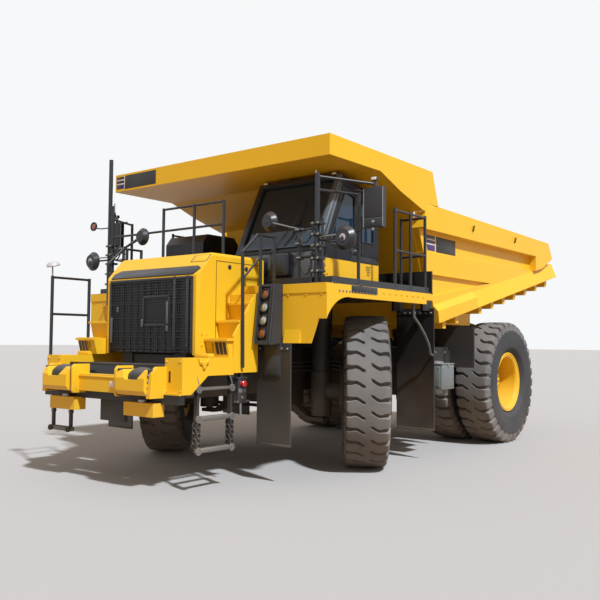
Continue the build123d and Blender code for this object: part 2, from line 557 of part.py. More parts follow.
# ---- hood and grille ----------------------------------------------------------
HOOD_SIDE = [(HOOD_FRONT, HOOD_BOTTOM), (HOOD_FRONT, HOOD_CHAMFER_Z), (HOOD_CHAMFER_X, HOOD_TOP),
             (HOOD_REAR, HOOD_TOP), (HOOD_REAR, 2150), (FRONT + 1480, 2150), (FRONT + 1480, HOOD_BOTTOM)]
HOOD_INSIDE = [(HOOD_FRONT - HOOD_SHEET, HOOD_BOTTOM - 10), (HOOD_FRONT - HOOD_SHEET, HOOD_CHAMFER_Z - 12),
               (HOOD_CHAMFER_X - 12, HOOD_TOP - HOOD_SHEET), (HOOD_REAR - 10, HOOD_TOP - HOOD_SHEET),
               (HOOD_REAR - 10, HOOD_BOTTOM - 10)]
with BuildPart() as hood:
    side_profile(HOOD_SIDE, -HOOD_HALF, HOOD_HALF)
    chamfer(hood.edges().filter_by(Axis.Z).sort_by(Axis.X)[-2:]
            + hood.edges().filter_by(Axis.X).sort_by(Axis.Z)[-2:], HOOD_EDGE)
    side_profile(HOOD_INSIDE, -HOOD_HALF + HOOD_SHEET, HOOD_HALF - HOOD_SHEET, mode=Mode.SUBTRACT)
    block(HOOD_FRONT - 60, HOOD_FRONT + 10, -GRILLE_HALF, GRILLE_HALF, HOOD_BOTTOM - 5, 2575,
          mode=Mode.SUBTRACT)
write(hood.part, "hood")

with BuildPart() as radiator_grille:
    block(FRONT + 1950, FRONT + 2245, -GRILLE_HALF - 40, GRILLE_HALF + 40, HOOD_BOTTOM + 25, 2560)
    block(FRONT + 1950, FRONT + 2180, -RAIL_OUT, RAIL_OUT, RAIL_FRONT_TOP, HOOD_BOTTOM + 30)
    # frame, two heavy posts, and the bars between
    uprights = [(-GRILLE_HALF, -GRILLE_HALF + 35), (462, 502), (700, 735), (GRILLE_HALF - 35, GRILLE_HALF)]
    for y0, y1 in uprights:
        block(FRONT + 2240, FRONT + 2288, y0, y1, HOOD_BOTTOM + 25, 2560)
    for z in GRILLE_BARS:
        block(FRONT + 2240, FRONT + 2275, -GRILLE_HALF + 5, GRILLE_HALF - 5, z - 11, z + 11)
    for post in range(GRILLE_RODS):
        y = -GRILLE_HALF + (post + 1) * 2 * GRILLE_HALF / (GRILLE_RODS + 1)
        block(FRONT + 2240, FRONT + 2266, y - 6, y + 6, HOOD_BOTTOM + 30, 2555)
write(radiator_grille.part, "radiator_grille")

# ---- bumper, walkway and wings -------------------------------------------------
WING_IN, WING_OUT, WING_FRONT, WING_TOP = 1016.0, 1307.0, FRONT + 2905, 1580.0
TOW_HOLE_R = 40.0
LADDER_RAILS = (FRONT + 2070, FRONT + 2630)
LADDER_RUNGS = (500.0, 870.0, 1215.0)
with BuildPart() as front_bumper:
    for s in (1, -1):
        y0, y1 = sorted((s * RAIL_IN, s * RAIL_OUT))
        block(RAIL_FRONT_X, FRONT + 2900, y0, y1, 1090, 1400)          # frame horns
        y0, y1 = sorted((s * WING_IN, s * WING_OUT))
        side_profile([(WING_FRONT, 1160), (WING_FRONT, WING_TOP), (FRONT + 2050, WING_TOP),
                      (FRONT + 2050, 1370),
                      (FRONT + 2490, 1370), (FRONT + 2760, 1160)], y0, y1)
        # nose with a notch for its lamp, and the tall plate at its outer end
        cross_profile([(s * 480, 1150), (s * 480, 1420), (s * 560, 1445), (s * 650, 1330),
                       (s * 860, 1330), (s * 940, 1445), (s * 985, 1420), (s * 985, 1150)],
                      FRONT + 2890, NOSE_X)
        y0, y1 = sorted((s * 470, s * 1000))
        side_profile([(NOSE_X - 70, 1480), (NOSE_X + 10, 1480), (NOSE_X + 10, 1330)], y0, y1,
                     mode=Mode.SUBTRACT)
        side_profile([(NOSE_X - 50, 1140), (NOSE_X + 10, 1140), (NOSE_X + 10, 1215)], y0, y1,
                     mode=Mode.SUBTRACT)
        y0, y1 = sorted((s * 980, s * 1045))
        side_profile([(FRONT + 2890, 1120), (FRONT + 2890, 1480), (FRONT + 3030, 1480),
                      (FRONT + 3130, 1400), (FRONT + 3150, 1120)], y0, y1)
        # tow bracket with its pin hole
        y0, y1 = sorted((s * 480, s * 1000))
        block(FRONT + 2890, FRONT + 3060, y0, y1, 900, 1060)
    block(FRONT + 2850, FRONT + 2940, -WING_OUT + 10, WING_OUT - 10, 1050, 1180)       # beam
    block(FRONT + 2890, FRONT + 3050, -475, 475, 1150, 1360)                           # middle panel
    block(FRONT + 2300, FRONT + 2750, -WING_IN - 5, WING_IN + 5, 1420, 1480)           # walkway
    side_profile([(FRONT + 2720, 1480), (FRONT + 2760, 1480), (FRONT + 2830, 1330),
                  (FRONT + 2830, 1270), (FRONT + 2780, 1270), (FRONT + 2720, 1430)],
                 -WING_IN - 5, WING_IN + 5)
    block(FRONT + 2600, FRONT + 2730, -RAIL_OUT, RAIL_OUT, 1380, 1430)
    block(FRONT + 2800, FRONT + 2840, -240, 240, 780, 1100)                            # flap plate
    block(FRONT + 2820, FRONT + 2860, -240, 240, 1060, 1100)
    # ladder below the left wing, hanging step below the right end of the beam
    for x in LADDER_RAILS:
        block(x - 20, x + 20, 1240, 1290, 480, 1400)
    for z in LADDER_RUNGS:
        block(LADDER_RAILS[0] + 10, LADDER_RAILS[1] - 10, 1235, 1295, z - 20, z + 20)
    for y in (-1160, -780):
        block(FRONT + 2885, FRONT + 2899, y - 30, y + 30, 640, 1060)
    block(FRONT + 2860, FRONT + 2930, -1190, -750, 600, 650)
    for s in (1, -1):
        with Locations((FRONT + 2990, s * 740, 980)):
            Cylinder(TOW_HOLE_R, 180, mode=Mode.SUBTRACT)
write(front_bumper.part, "front_bumper")

# ---- stairs and ladders ---------------------------------------------------------
STAIR_OUT, STAIR_IN = 1300.0, HOOD_HALF + 8
ARCH_REAR, ARCH_FRONT, ARCH_FOOT = FRONT + 950, FRONT + 1490, 2060.0
LAMP_IN, LAMP_OUT = 1350.0, 1620.0            # the lamp column's sides
LAMP_Z = (1880.0, 2045.0, 2210.0, 2375.0)
LAMP_R = 62.0
# step boxes of a stair: rear, front, underside, top
STEPS = [
    (FRONT + 2090, FRONT + 2580, 1590, 1810),
    (FRONT + 1970, FRONT + 2370, 1800, 2040),
    (FRONT + 1660, FRONT + 2170, 2030, 2270)]
# how far the steps of each stair stand behind those places, and the rearmost that they reach
STAIR_SETBACKS = [("left", 410), ("right", 100)]
STAIR_REAR = FRONT + 1600
LOUVRES = 5                   # upright slots in the lowest riser
for side, setback in STAIR_SETBACKS:
    steps = [(max(rear - setback, STAIR_REAR), front - setback, bottom, top)
             for rear, front, bottom, top in STEPS]
    with BuildPart() as stair:
        for rear, front, bottom, top in steps:
            # tread on a box that narrows towards its foot
            block(rear, front, STAIR_IN, STAIR_OUT, top - 30, top)
            side_profile([(rear, top - 25), (front - 20, top - 25), (front - 70, bottom), (rear, bottom)],
                         STAIR_IN, STAIR_OUT - 25)
        rear, front, bottom, top = steps[0]
        for slot in range(LOUVRES):
            y = STAIR_OUT - 80 - slot * 50
            block(front - 100, front, y - 15, y + 15, bottom + 30, top - 50, mode=Mode.SUBTRACT)
        side_profile([(STAIR_REAR, 1390), (STAIR_REAR, 2380), (STAIR_REAR + 65, 2380),
                      (FRONT + 2049, 1850), (FRONT + 2049, 1390)],
                     STAIR_OUT - 30, STAIR_OUT)
        block(STAIR_REAR, STAIR_REAR + 100, STAIR_IN, STAIR_OUT, 2250, 2380)
        side_profile([(FRONT + 2055, WING_TOP + GAP), (FRONT + 2055, 1700), (front - 60, 1700),
                      (front - 60, WING_TOP + GAP)],
                     WING_IN, STAIR_OUT - 25)
    write(stair.part if side == "left" else stair.part.mirror(Plane.XZ), f"stair_{side}")

# ---- decks, fenders, lamp columns -------------------------------------------------
with BuildPart() as deck:
    block(DECK_REAR, DECK_FRONT, HOOD_HALF + 5, DECK_HALF, DECK_TOP - DECK_T, DECK_TOP)
    block(DECK_REAR, HOOD_REAR, 0, HOOD_HALF + 10, DECK_TOP - DECK_T, DECK_TOP)
    block(DECK_REAR, DECK_REAR + 30, 1200, DECK_HALF, DECK_TOP - 5, 2840)
    # fender cheek ahead of the tyre, leaning forward at its foot
    side_profile([(FRONT + 1340, 2450), (FRONT + 1400, 2450), (FRONT + 1520, 1760),
                  (FRONT + 1480, 1760)], 1640, 1900)
    cross_profile([(1600, 2405), (DECK_HALF, 2405), (2050, 1760), (1600, 1760)], FRONT + 1460, FRONT + 1490)
    block(FRONT + 1300, FRONT + 1500, 1600, DECK_HALF, 2380, 2410)
    # side of the fender, cut to a curved arch over the tyre
    with BuildSketch(Plane(origin=(0, DECK_HALF, 0), x_dir=(1, 0, 0), z_dir=(0, -1, 0))) as arch:
        with BuildLine():
            Polyline((ARCH_REAR, 2405), (ARCH_FRONT, 2405), (ARCH_FRONT, ARCH_FOOT))
            ThreePointArc((ARCH_FRONT, ARCH_FOOT), (ARCH_FRONT - 230, 2285), (ARCH_REAR, 2340))
            Line((ARCH_REAR, 2340), (ARCH_REAR, 2405))
        make_face()
    extrude(arch.sketch, amount=120)
    block(FRONT - 1000, ARCH_REAR + 5, DECK_HALF - 30, DECK_HALF, 2340, 2405)
    # hangers to the frame
    block(FRONT - 1000, FRONT - 900, RAIL_IN + 20, RAIL_OUT - 20, RAIL_FRONT_TOP, DECK_TOP - DECK_T + 5)
    # flap behind the tyre
    block(FRONT - 1440, FRONT - 1420, 1540, 2190, 450, 2300)
    for y in (1600, 2100):
        block(FRONT - 1440, FRONT - 1170, y, y + 40, 2260, 2405)
write_pair(deck.part, "deck")

lamp_y = LAMP_IN + 105
with BuildPart() as lamp_column:
    # the column leans forward at its foot; lamps sit in a trough in its front
    side_profile([(FRONT + 1501, 2500), (FRONT + 1501, 1760), (FRONT + 1720, 1740),
                  (FRONT + 1630, 2500)], LAMP_IN, LAMP_OUT)
    side_profile([(FRONT + 1735, 1790), (FRONT + 1675, 1790), (FRONT + 1590, 2470),
                  (FRONT + 1650, 2470)], lamp_y - 75, lamp_y + 75,
                 mode=Mode.SUBTRACT)
    for z in LAMP_Z:
        face = FRONT + 1580 + (2500 - z) * 90 / 760
        bar((face - 10, lamp_y, z), (face + 38, lamp_y, z), LAMP_R)
    block(FRONT + 1501, FRONT + 1540, LAMP_IN, LAMP_OUT, 1340, 1765)
    # flap ahead of the tyre
    block(FRONT + 1501, FRONT + 1520, 1220, 1770, 470, 1760)
write_pair(lamp_column.part, "lamp_column")

# ---- handrails, masts and mirrors --------------------------------------------------
RAIL_Z, MID_Z = 3650.0, 3056.0
RAIL_Y = 2255.0
TOE_BOARD = 90.0
REAR_RAIL, GATE_REAR, GATE_FRONT = FRONT - 1030, FRONT - 170, FRONT + 740     # gap at the door
GRAB_Y = STAIR_OUT + RAIL_TUBE + GAP
MAST_TOP = 3900.0
RADIO_MAST_TOP = 4650.0
# convex mirrors: middle, radius
DOMES = [((FRONT + 1350, 1262, 3350), 130), ((FRONT + 1350, 2465, 3045), 150)]


def deck_rails():
    """Rails that both sides of the truck have."""
    # toe boards along the deck's side and front carry every post
    block(FRONT - 1140, FRONT + 1340, RAIL_Y - 15, RAIL_Y + 15, DECK_TOP + GAP, DECK_TOP + TOE_BOARD)
    block(MAST_X - 20, MAST_X + 20, GRAB_Y - 20, RAIL_Y + 15, DECK_TOP + GAP, DECK_TOP + TOE_BOARD)
    for x in (REAR_RAIL, (REAR_RAIL + GATE_REAR) / 2, GATE_REAR):
        bar((x, RAIL_Y, DECK_TOP + 20), (x, RAIL_Y, RAIL_Z), RAIL_TUBE)
    for z in (RAIL_Z - 30, MID_Z):
        bar((REAR_RAIL, RAIL_Y, z), (GATE_REAR, RAIL_Y, z), CROSS_TUBE)
        bar((REAR_RAIL, RAIL_Y, z), (REAR_RAIL, 1850, z), CROSS_TUBE)
    bar((REAR_RAIL, 1850, DECK_TOP + GAP), (REAR_RAIL, 1850, RAIL_Z), RAIL_TUBE)
    # mast, the rail beside it, and the rail from the mast to the gate's front post
    bar((MAST_X, MAST_Y, DECK_TOP + 20), (MAST_X, MAST_Y, MAST_TOP), 32)
    bar((MAST_X, 1740, DECK_TOP + 20), (MAST_X, 1740, 3230), RAIL_TUBE)
    for z in (3200, 2850):
        bar((MAST_X, 1740, z), (MAST_X, MAST_Y, z), CROSS_TUBE)
    bar((GATE_FRONT, RAIL_Y, DECK_TOP + 20), (GATE_FRONT, RAIL_Y, 3711), RAIL_TUBE)
    for z in (3690, MID_Z):
        bar((MAST_X, MAST_Y, z), (GATE_FRONT, RAIL_Y, z), CROSS_TUBE)
    # flat mirror on its arm
    bar((MAST_X, MAST_Y, 3860), (FRONT + 820, 2550, 3780), 18)
    bar((FRONT + 820, 2550, 3700), (FRONT + 820, 2550, 3820), 24)
    block(FRONT + 790, FRONT + 850, 2400, MIRROR_OUT, 3220, 3740)
    # convex mirrors, their backs to the front, on arms from the posts
    for middle, radius in DOMES:
        with BuildSketch(Plane(origin=middle, z_dir=(1, 0, 0))) as shell:
            Circle(radius)
        extrude(shell.sketch, amount=60, taper=38)
        extrude(shell.sketch, amount=-12)
    bar((MAST_X, 1740, 3200), (FRONT + 1345, DOMES[0][0][1], DOMES[0][0][2]), 14)
    bar((MAST_X, MAST_Y, DOMES[1][0][2]), (FRONT + 1345, DOMES[1][0][1], DOMES[1][0][2]), 14)
    # grab rails of the stair
    bar((FRONT + 1908, GRAB_Y, 1453), (FRONT + 1934, GRAB_Y, 2902), RAIL_TUBE)
    bar((FRONT + 1934, GRAB_Y, 2890), (FRONT + 1651, GRAB_Y, 3142), CROSS_TUBE)
    bar((FRONT + 1665, GRAB_Y, 3138), (MAST_X, GRAB_Y, 3138), CROSS_TUBE)
    bar((FRONT + 1593, GRAB_Y, 2250), (FRONT + 1593, GRAB_Y, 3150), RAIL_TUBE)
    bar((MAST_X, GRAB_Y, DECK_TOP + 20), (MAST_X, GRAB_Y, 3150), RAIL_TUBE)
    bar((FRONT + 1920, GRAB_Y, 2560), (FRONT + 1593, GRAB_Y, 2860), CROSS_TUBE - 3)


with BuildPart() as handrail_left:
    deck_rails()
write(handrail_left.part, "handrail_left")

with BuildPart() as right_rails:
    deck_rails()
with BuildPart() as handrail_right:
    add(right_rails.part.mirror(Plane.XZ))
    # tall radio mast beside the mirror's mast
    bar((MAST_X, -MAST_Y - 70, DECK_TOP + 20), (MAST_X, -MAST_Y - 70, RADIO_MAST_TOP), 32)
    # rail across the hood
    block(MAST_X - 20, MAST_X + 20, -HOOD_HALF + 50, 420, HOOD_TOP + GAP, HOOD_TOP + 60)
    for y in (-830, -180, 400):
        bar((MAST_X, y, HOOD_TOP + 20), (MAST_X, y, 3740), RAIL_TUBE)
    bar((MAST_X, -830, 3720), (MAST_X, 400, 3720), CROSS_TUBE)
    bar((MAST_X, -MAST_Y, 3400), (MAST_X, 400, 3400), CROSS_TUBE)
write(handrail_right.part, "handrail_right")

# rail on the right wing, above the hanging step
WING_RAIL_X = (FRONT + 2250, FRONT + 2850)
WING_RAIL_Z = (2130.0, 2630.0)
with BuildPart() as wing_rail:
    # foot plate on the wing's outer face
    block(WING_RAIL_X[0] - 30, WING_RAIL_X[1] + 30, -WING_OUT - 45, -WING_OUT - GAP, 1490, 1550)
    rail_y = -WING_OUT - GAP - RAIL_TUBE
    for x in WING_RAIL_X:
        bar((x, rail_y, 1500), (x, rail_y, WING_RAIL_Z[1] + 20), RAIL_TUBE)
    for z in WING_RAIL_Z:
        bar((WING_RAIL_X[0], rail_y, z), (WING_RAIL_X[1], rail_y, z), CROSS_TUBE)
write(wing_rail.part, "wing_rail")

# air cleaner on the right deck
with BuildPart() as air_cleaner:
    side_profile([(FRONT - 100, DECK_TOP + GAP), (FRONT - 100, 3330), (FRONT - 10, 3430),
                  (FRONT + 580, 3430), (FRONT + 680, 3300),
                  (FRONT + 680, DECK_TOP + GAP)], -1480, -640)
    for y in (-1270, -850):
        bar((FRONT + 660, y, 2950), (FRONT + 760, y, 2950), 170)
write(air_cleaner.part, "air_cleaner")

# ---- cab ----------------------------------------------------------------------------
CAB_SIDE = [(CAB_REAR, CAB_FLOOR + GAP), (CAB_FRONT, CAB_FLOOR + GAP), (CAB_FRONT, CAB_SILL),
            (SCREEN_TOP_X, ROOF_FRONT_Z), (ROOF_REAR_X, ROOF_REAR_Z), (CAB_REAR, 3700)]
CAB_INSIDE = [(CAB_REAR + 50, CAB_FLOOR + 60), (CAB_FRONT - 50, CAB_FLOOR + 60),
              (CAB_FRONT - 50, CAB_SILL - 10), (SCREEN_TOP_X - 35, ROOF_FRONT_Z - 62),
              (ROOF_REAR_X + 20, ROOF_REAR_Z - 50), (CAB_REAR + 50, 3690)]
DOOR_REAR, DOOR_FRONT, DOOR_SILL = FRONT, FRONT + 790, 2600.0
DOOR_OUTLINE = [(DOOR_REAR, DOOR_SILL), (DOOR_FRONT, DOOR_SILL), (DOOR_FRONT, 3080),
                (FRONT + 380, 3930), (FRONT + 340, 3960), (DOOR_REAR, 3880)]
DOOR_WINDOW = [(DOOR_REAR + 80, 3130), (DOOR_FRONT - 115, 3130), (FRONT + 320, 3865),
               (DOOR_REAR + 80, 3808)]
SIDE_WINDOW = [(FRONT - 410, 3200), (DOOR_REAR - 80, 3200), (DOOR_REAR - 80, 3790), (FRONT - 410, 3710)]
HINGE_X, HINGE_OUT = DOOR_FRONT + 10, 20.0        # door's hinge line, and how far outside the wall
HINGE_Z = (2720.0, 3010.0)
HINGE_PIN_R, KNUCKLE_WALL = 9.0, 9.0
screen_angle = atan2(ROOF_FRONT_Z - CAB_SILL, CAB_FRONT - SCREEN_TOP_X)


def on_screen(distance, depth):
    """A point this far up the windscreen's plane and this deep inside it."""
    return (CAB_FRONT - distance * cos(screen_angle) - depth * sin(screen_angle),
            CAB_SILL + distance * sin(screen_angle) - depth * cos(screen_angle))


screen_length = hypot(ROOF_FRONT_Z - CAB_SILL, CAB_FRONT - SCREEN_TOP_X)
with BuildPart() as cab_shell:
    side_profile(CAB_SIDE, CAB_RIGHT, CAB_LEFT)
    side_profile(CAB_INSIDE, CAB_RIGHT + CAB_WALL, CAB_LEFT - CAB_WALL, mode=Mode.SUBTRACT)
    # windscreen opening
    side_profile([on_screen(60, -40), on_screen(screen_length - 80, -40),
                  on_screen(screen_length - 80, 90), on_screen(60, 90)],
                 CAB_RIGHT + 90, CAB_LEFT - 90, mode=Mode.SUBTRACT)
    # doorways in both sides
    side_profile(DOOR_OUTLINE, CAB_RIGHT - 10, CAB_LEFT + 10, mode=Mode.SUBTRACT)
    side_profile(SIDE_WINDOW, CAB_RIGHT - 10, CAB_LEFT + 10, mode=Mode.SUBTRACT)
    # rear window
    block(CAB_REAR - 10, CAB_REAR + 60, CAB_RIGHT + 150, CAB_LEFT - 150, 3150, 3600,
          mode=Mode.SUBTRACT)
with BuildPart() as cab_hinges:
    # brackets and pins that the doors turn on
    for wall, s in ((CAB_LEFT, 1), (CAB_RIGHT, -1)):
        for z in HINGE_Z:
            y0, y1 = sorted((wall - s * 5, wall + s * (HINGE_OUT + 14)))
            block(HINGE_X - 14, HINGE_X + 60, y0, y1, z - 50, z - 35)
            bar((HINGE_X, wall + s * HINGE_OUT, z - 45), (HINGE_X, wall + s * HINGE_OUT, z + 40),
                HINGE_PIN_R)
with BuildPart() as cab:
    add(cab_shell.part)
    add(cab_hinges.part)
write(cab.part, "cab_shell")

with BuildPart() as windscreen:
    side_profile([on_screen(60 + GAP, 20), on_screen(screen_length - 80 - GAP, 20),
                  on_screen(screen_length - 80 - GAP, 32), on_screen(60 + GAP, 32)],
                 CAB_RIGHT + 90 + GAP, CAB_LEFT - 90 - GAP)
write(windscreen.part, "windscreen")

DOOR_GAP = 6.0
with BuildPart() as door:
    with BuildSketch(Plane(origin=(0, CAB_LEFT, 0), x_dir=(1, 0, 0), z_dir=(0, -1, 0))):
        with BuildLine():
            Polyline(*DOOR_OUTLINE, close=True)
        make_face()
        offset(amount=-DOOR_GAP, mode=Mode.REPLACE)
        with BuildLine():
            Polyline(*DOOR_WINDOW, close=True)
        make_face(mode=Mode.SUBTRACT)
    extrude(amount=CAB_WALL)
    # pane
    side_profile(DOOR_WINDOW, CAB_LEFT - 30, CAB_LEFT - 20)
    for z in HINGE_Z:
        bar((HINGE_X, CAB_LEFT + HINGE_OUT, z - 35 + GAP), (HINGE_X, CAB_LEFT + HINGE_OUT, z + 40),
            HINGE_PIN_R + KNUCKLE_WALL)
        block(HINGE_X - 80, HINGE_X, CAB_LEFT + 2, CAB_LEFT + 12, z - 35 + GAP, z + 40)
        block(HINGE_X - 80, HINGE_X - 25, CAB_LEFT - 5, CAB_LEFT + 12, z - 35 + GAP, z + 40)
        bar((HINGE_X, CAB_LEFT + HINGE_OUT, z - 60), (HINGE_X, CAB_LEFT + HINGE_OUT, z + 60),
            HINGE_PIN_R + GAP, mode=Mode.SUBTRACT)
write(door.part, "door_left")
mid_cab = (CAB_LEFT + CAB_RIGHT) / 2
write(door.part.mirror(Plane.XZ.offset(-mid_cab)), "door_right")

with BuildPart() as cab_seat:
    block(FRONT - 150, FRONT + 350, 780, 1280, CAB_FLOOR + 60 + GAP, 2800)
    block(FRONT - 200, FRONT + 380, 760, 1300, 2800, 2950)
    side_profile([(FRONT - 220, 2930), (FRONT - 80, 2930), (FRONT - 180, 3620),
                  (FRONT - 310, 3620)], 780, 1280)
    block(FRONT + 580, FRONT + 780, 480, 1500, CAB_FLOOR + 60 + GAP, 3010)
    block(FRONT + 300, FRONT + 650, 860, 1200, CAB_FLOOR + 60 + GAP, 2600)
    bar((FRONT + 640, 1030, 2990), (FRONT + 460, 1030, 3200), 30)
    bar((FRONT + 465, 1030, 3185), (FRONT + 435, 1030, 3215), 210)
write(cab_seat.part, "cab_seat")

# ---- tanks ------------------------------------------------------------------------
with BuildPart() as tank:
    block(1750, FRONT - 1520, HOIST_Y + 180, 1850, 950, 1700)
    block(FRONT - 1950, FRONT - 1600, RAIL_OUT, HOIST_Y + 190, 1200, 1600)
    # battery box on the outside of the tank
    block(FRONT - 2000, FRONT - 1600, 1845, 2230, 1065, 1450)
    # guard ahead of the rear tyres
    block(1560, 1590, 1150, 2240, 1370, 2040)
    block(1585, 1760, 1150, 1800, 1400, 1640)
write_pair(tank.part, "tank")
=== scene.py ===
import json
import math
import bpy
from mathutils import Vector, Matrix, Quaternion


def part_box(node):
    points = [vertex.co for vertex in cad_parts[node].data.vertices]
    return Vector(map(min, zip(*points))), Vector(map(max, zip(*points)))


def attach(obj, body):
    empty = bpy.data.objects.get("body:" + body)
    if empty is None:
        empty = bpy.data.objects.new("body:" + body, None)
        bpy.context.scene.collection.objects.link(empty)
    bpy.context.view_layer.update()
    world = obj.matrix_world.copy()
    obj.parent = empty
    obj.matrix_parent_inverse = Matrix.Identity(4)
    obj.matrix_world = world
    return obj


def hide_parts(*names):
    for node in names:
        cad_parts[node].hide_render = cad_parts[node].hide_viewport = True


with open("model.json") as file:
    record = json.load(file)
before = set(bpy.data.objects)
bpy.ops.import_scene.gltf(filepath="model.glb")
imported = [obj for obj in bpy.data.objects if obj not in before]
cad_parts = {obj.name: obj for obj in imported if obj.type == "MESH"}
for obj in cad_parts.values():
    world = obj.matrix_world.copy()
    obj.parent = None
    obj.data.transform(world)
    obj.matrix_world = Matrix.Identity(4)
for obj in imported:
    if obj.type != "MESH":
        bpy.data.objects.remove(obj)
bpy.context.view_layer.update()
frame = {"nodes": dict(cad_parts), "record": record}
nodes = frame["nodes"]
joints = {joint["name"]: joint for joint in frame["record"]["behaviour"]["joints"]}
print("frame loaded:", len(nodes), "nodes")

# camera, light and floor
cameraSettings = {
    "place": (10.7646, 7.6492, 1.7863),
    "forward": (-0.78681, -0.6148, 0.05436),
    "roll": 0.445,
    "lens": 45.37,
}
lightSettings = {
    "sunStrength": 4.0,
    "sunTravel": (-0.25, -0.62, -0.78),
    "sunSpread": 3.0,
    "skyColor": (1.0, 0.81, 0.64, 1),
    "skyStrength": 0.48,
    "backdrop": (0.93, 0.94, 0.95, 1),
    "floorSeen": (0.445, 0.455, 0.475, 1),
    "floorBounce": (0.37, 0.26, 0.17, 1),
}


def setCamera():
    bpy.ops.object.camera_add(location=cameraSettings["place"])
    camera = bpy.context.object
    camera.name = "mainCamera"
    camera.data.lens = cameraSettings["lens"]
    camera.data.clip_end = 500
    turn = Vector(cameraSettings["forward"]).to_track_quat("-Z", "Y")
    roll = Quaternion((0, 0, 1), math.radians(cameraSettings["roll"]))
    camera.rotation_mode = "QUATERNION"
    camera.rotation_quaternion = turn @ roll
    bpy.context.scene.camera = camera


# a shader node: each socket takes a value, or a link where an output is given
def addNode(tree, kind, sockets, **options):
    node = tree.nodes.new("ShaderNode" + kind)
    for name, value in options.items():
        setattr(node, name, value)
    for name, value in sockets.items():
        if isinstance(value, bpy.types.NodeSocket):
            tree.links.new(value, node.inputs[name])
        else:
            node.inputs[name].default_value = value
    return node.outputs


def mathNode(tree, kind, a, b=0.0, clamp=False):
    return addNode(tree, "Math", {0: a, 1: b}, operation=kind, use_clamp=clamp)["Value"]


def mixNode(tree, factor, a, b):
    return addNode(tree, "Mix", {"Factor": factor, "A": a, "B": b}, data_type="RGBA")["Result"]


# carries a value from one range over to another
def rangeNode(tree, value, start, end):
    limits = {"From Min": start[0], "From Max": start[1], "To Min": end[0], "To Max": end[1]}
    return addNode(tree, "MapRange", {"Value": value, **limits})["Result"]


# one for rays that show the pale surroundings: the camera's own, reflections and glass
def paleRays(tree):
    rays = addNode(tree, "LightPath", {})
    total = rays["Is Camera Ray"]
    for name in ("Is Glossy Ray", "Is Transmission Ray"):
        total = mathNode(tree, "ADD", total, rays[name], True)
    return total


def setLights():
    bpy.ops.object.light_add(type="SUN", location=(4, 8, 14))
    sun = bpy.context.object
    sun.name = "keySun"
    sun.data.energy = lightSettings["sunStrength"]
    sun.data.angle = math.radians(lightSettings["sunSpread"])
    sun.rotation_euler = Vector(lightSettings["sunTravel"]).to_track_quat("-Z", "Y").to_euler()
    world = bpy.data.worlds.new("softSky")
    bpy.context.scene.world = world
    world.use_nodes = True
    tree = world.node_tree
    sky = tree.nodes["Background"]
    sky.inputs["Color"].default_value = lightSettings["skyColor"]
    sky.inputs["Strength"].default_value = lightSettings["skyStrength"]
    # what the camera sees behind the truck is pale, and lights nothing
    backdrop = addNode(tree, "Background", {"Color": lightSettings["backdrop"]})["Background"]
    pick = addNode(tree, "MixShader", {"Fac": paleRays(tree), 1: sky.outputs["Background"], 2: backdrop})
    tree.links.new(pick["Shader"], tree.nodes["World Output"].inputs["Surface"])


def layFloor():
    bpy.ops.mesh.primitive_plane_add(size=400, location=(0, 0, 0))
    floor = bpy.context.object
    floor.name = "studioFloor"
    mat = bpy.data.materials.new("paleFloor")
    mat.use_nodes = True
    tree = mat.node_tree
    shader = tree.nodes["Principled BSDF"]
    shader.inputs["Roughness"].default_value = 0.95
    # paler to the camera and in reflections than in the light it throws back
    tone = mixNode(tree, paleRays(tree), lightSettings["floorBounce"], lightSettings["floorSeen"])
    tree.links.new(tone, shader.inputs["Base Color"])
    floor.data.materials.append(mat)


setCamera()
setLights()
layFloor()
bpy.context.scene.view_settings.view_transform = "Standard"
print("camera, light and floor ready")


finishSettings = {
    "patchScale": 1.3, "patchDetail": 5, "grainDetail": 4,
    "patchTone": 0.86,                    # a patch's tone where none is given
    "bevelSamples": 4, "reliefDepth": 0.004,
    # where edges are lightened: partly wear, partly a painted highlight
    "wearAndHighlightFrom": (0.985, 0.9), "wearAndHighlightTo": (0.0, 0.7),
    "dustFoot": 0.1,                      # below this height the dust is thickest
    "dustFacing": (0.3, 1.0),
    "dustBreaks": (0.32, 0.62), "dustSpread": (0.35, 1.25),
    "leastRough": 0.02,
}
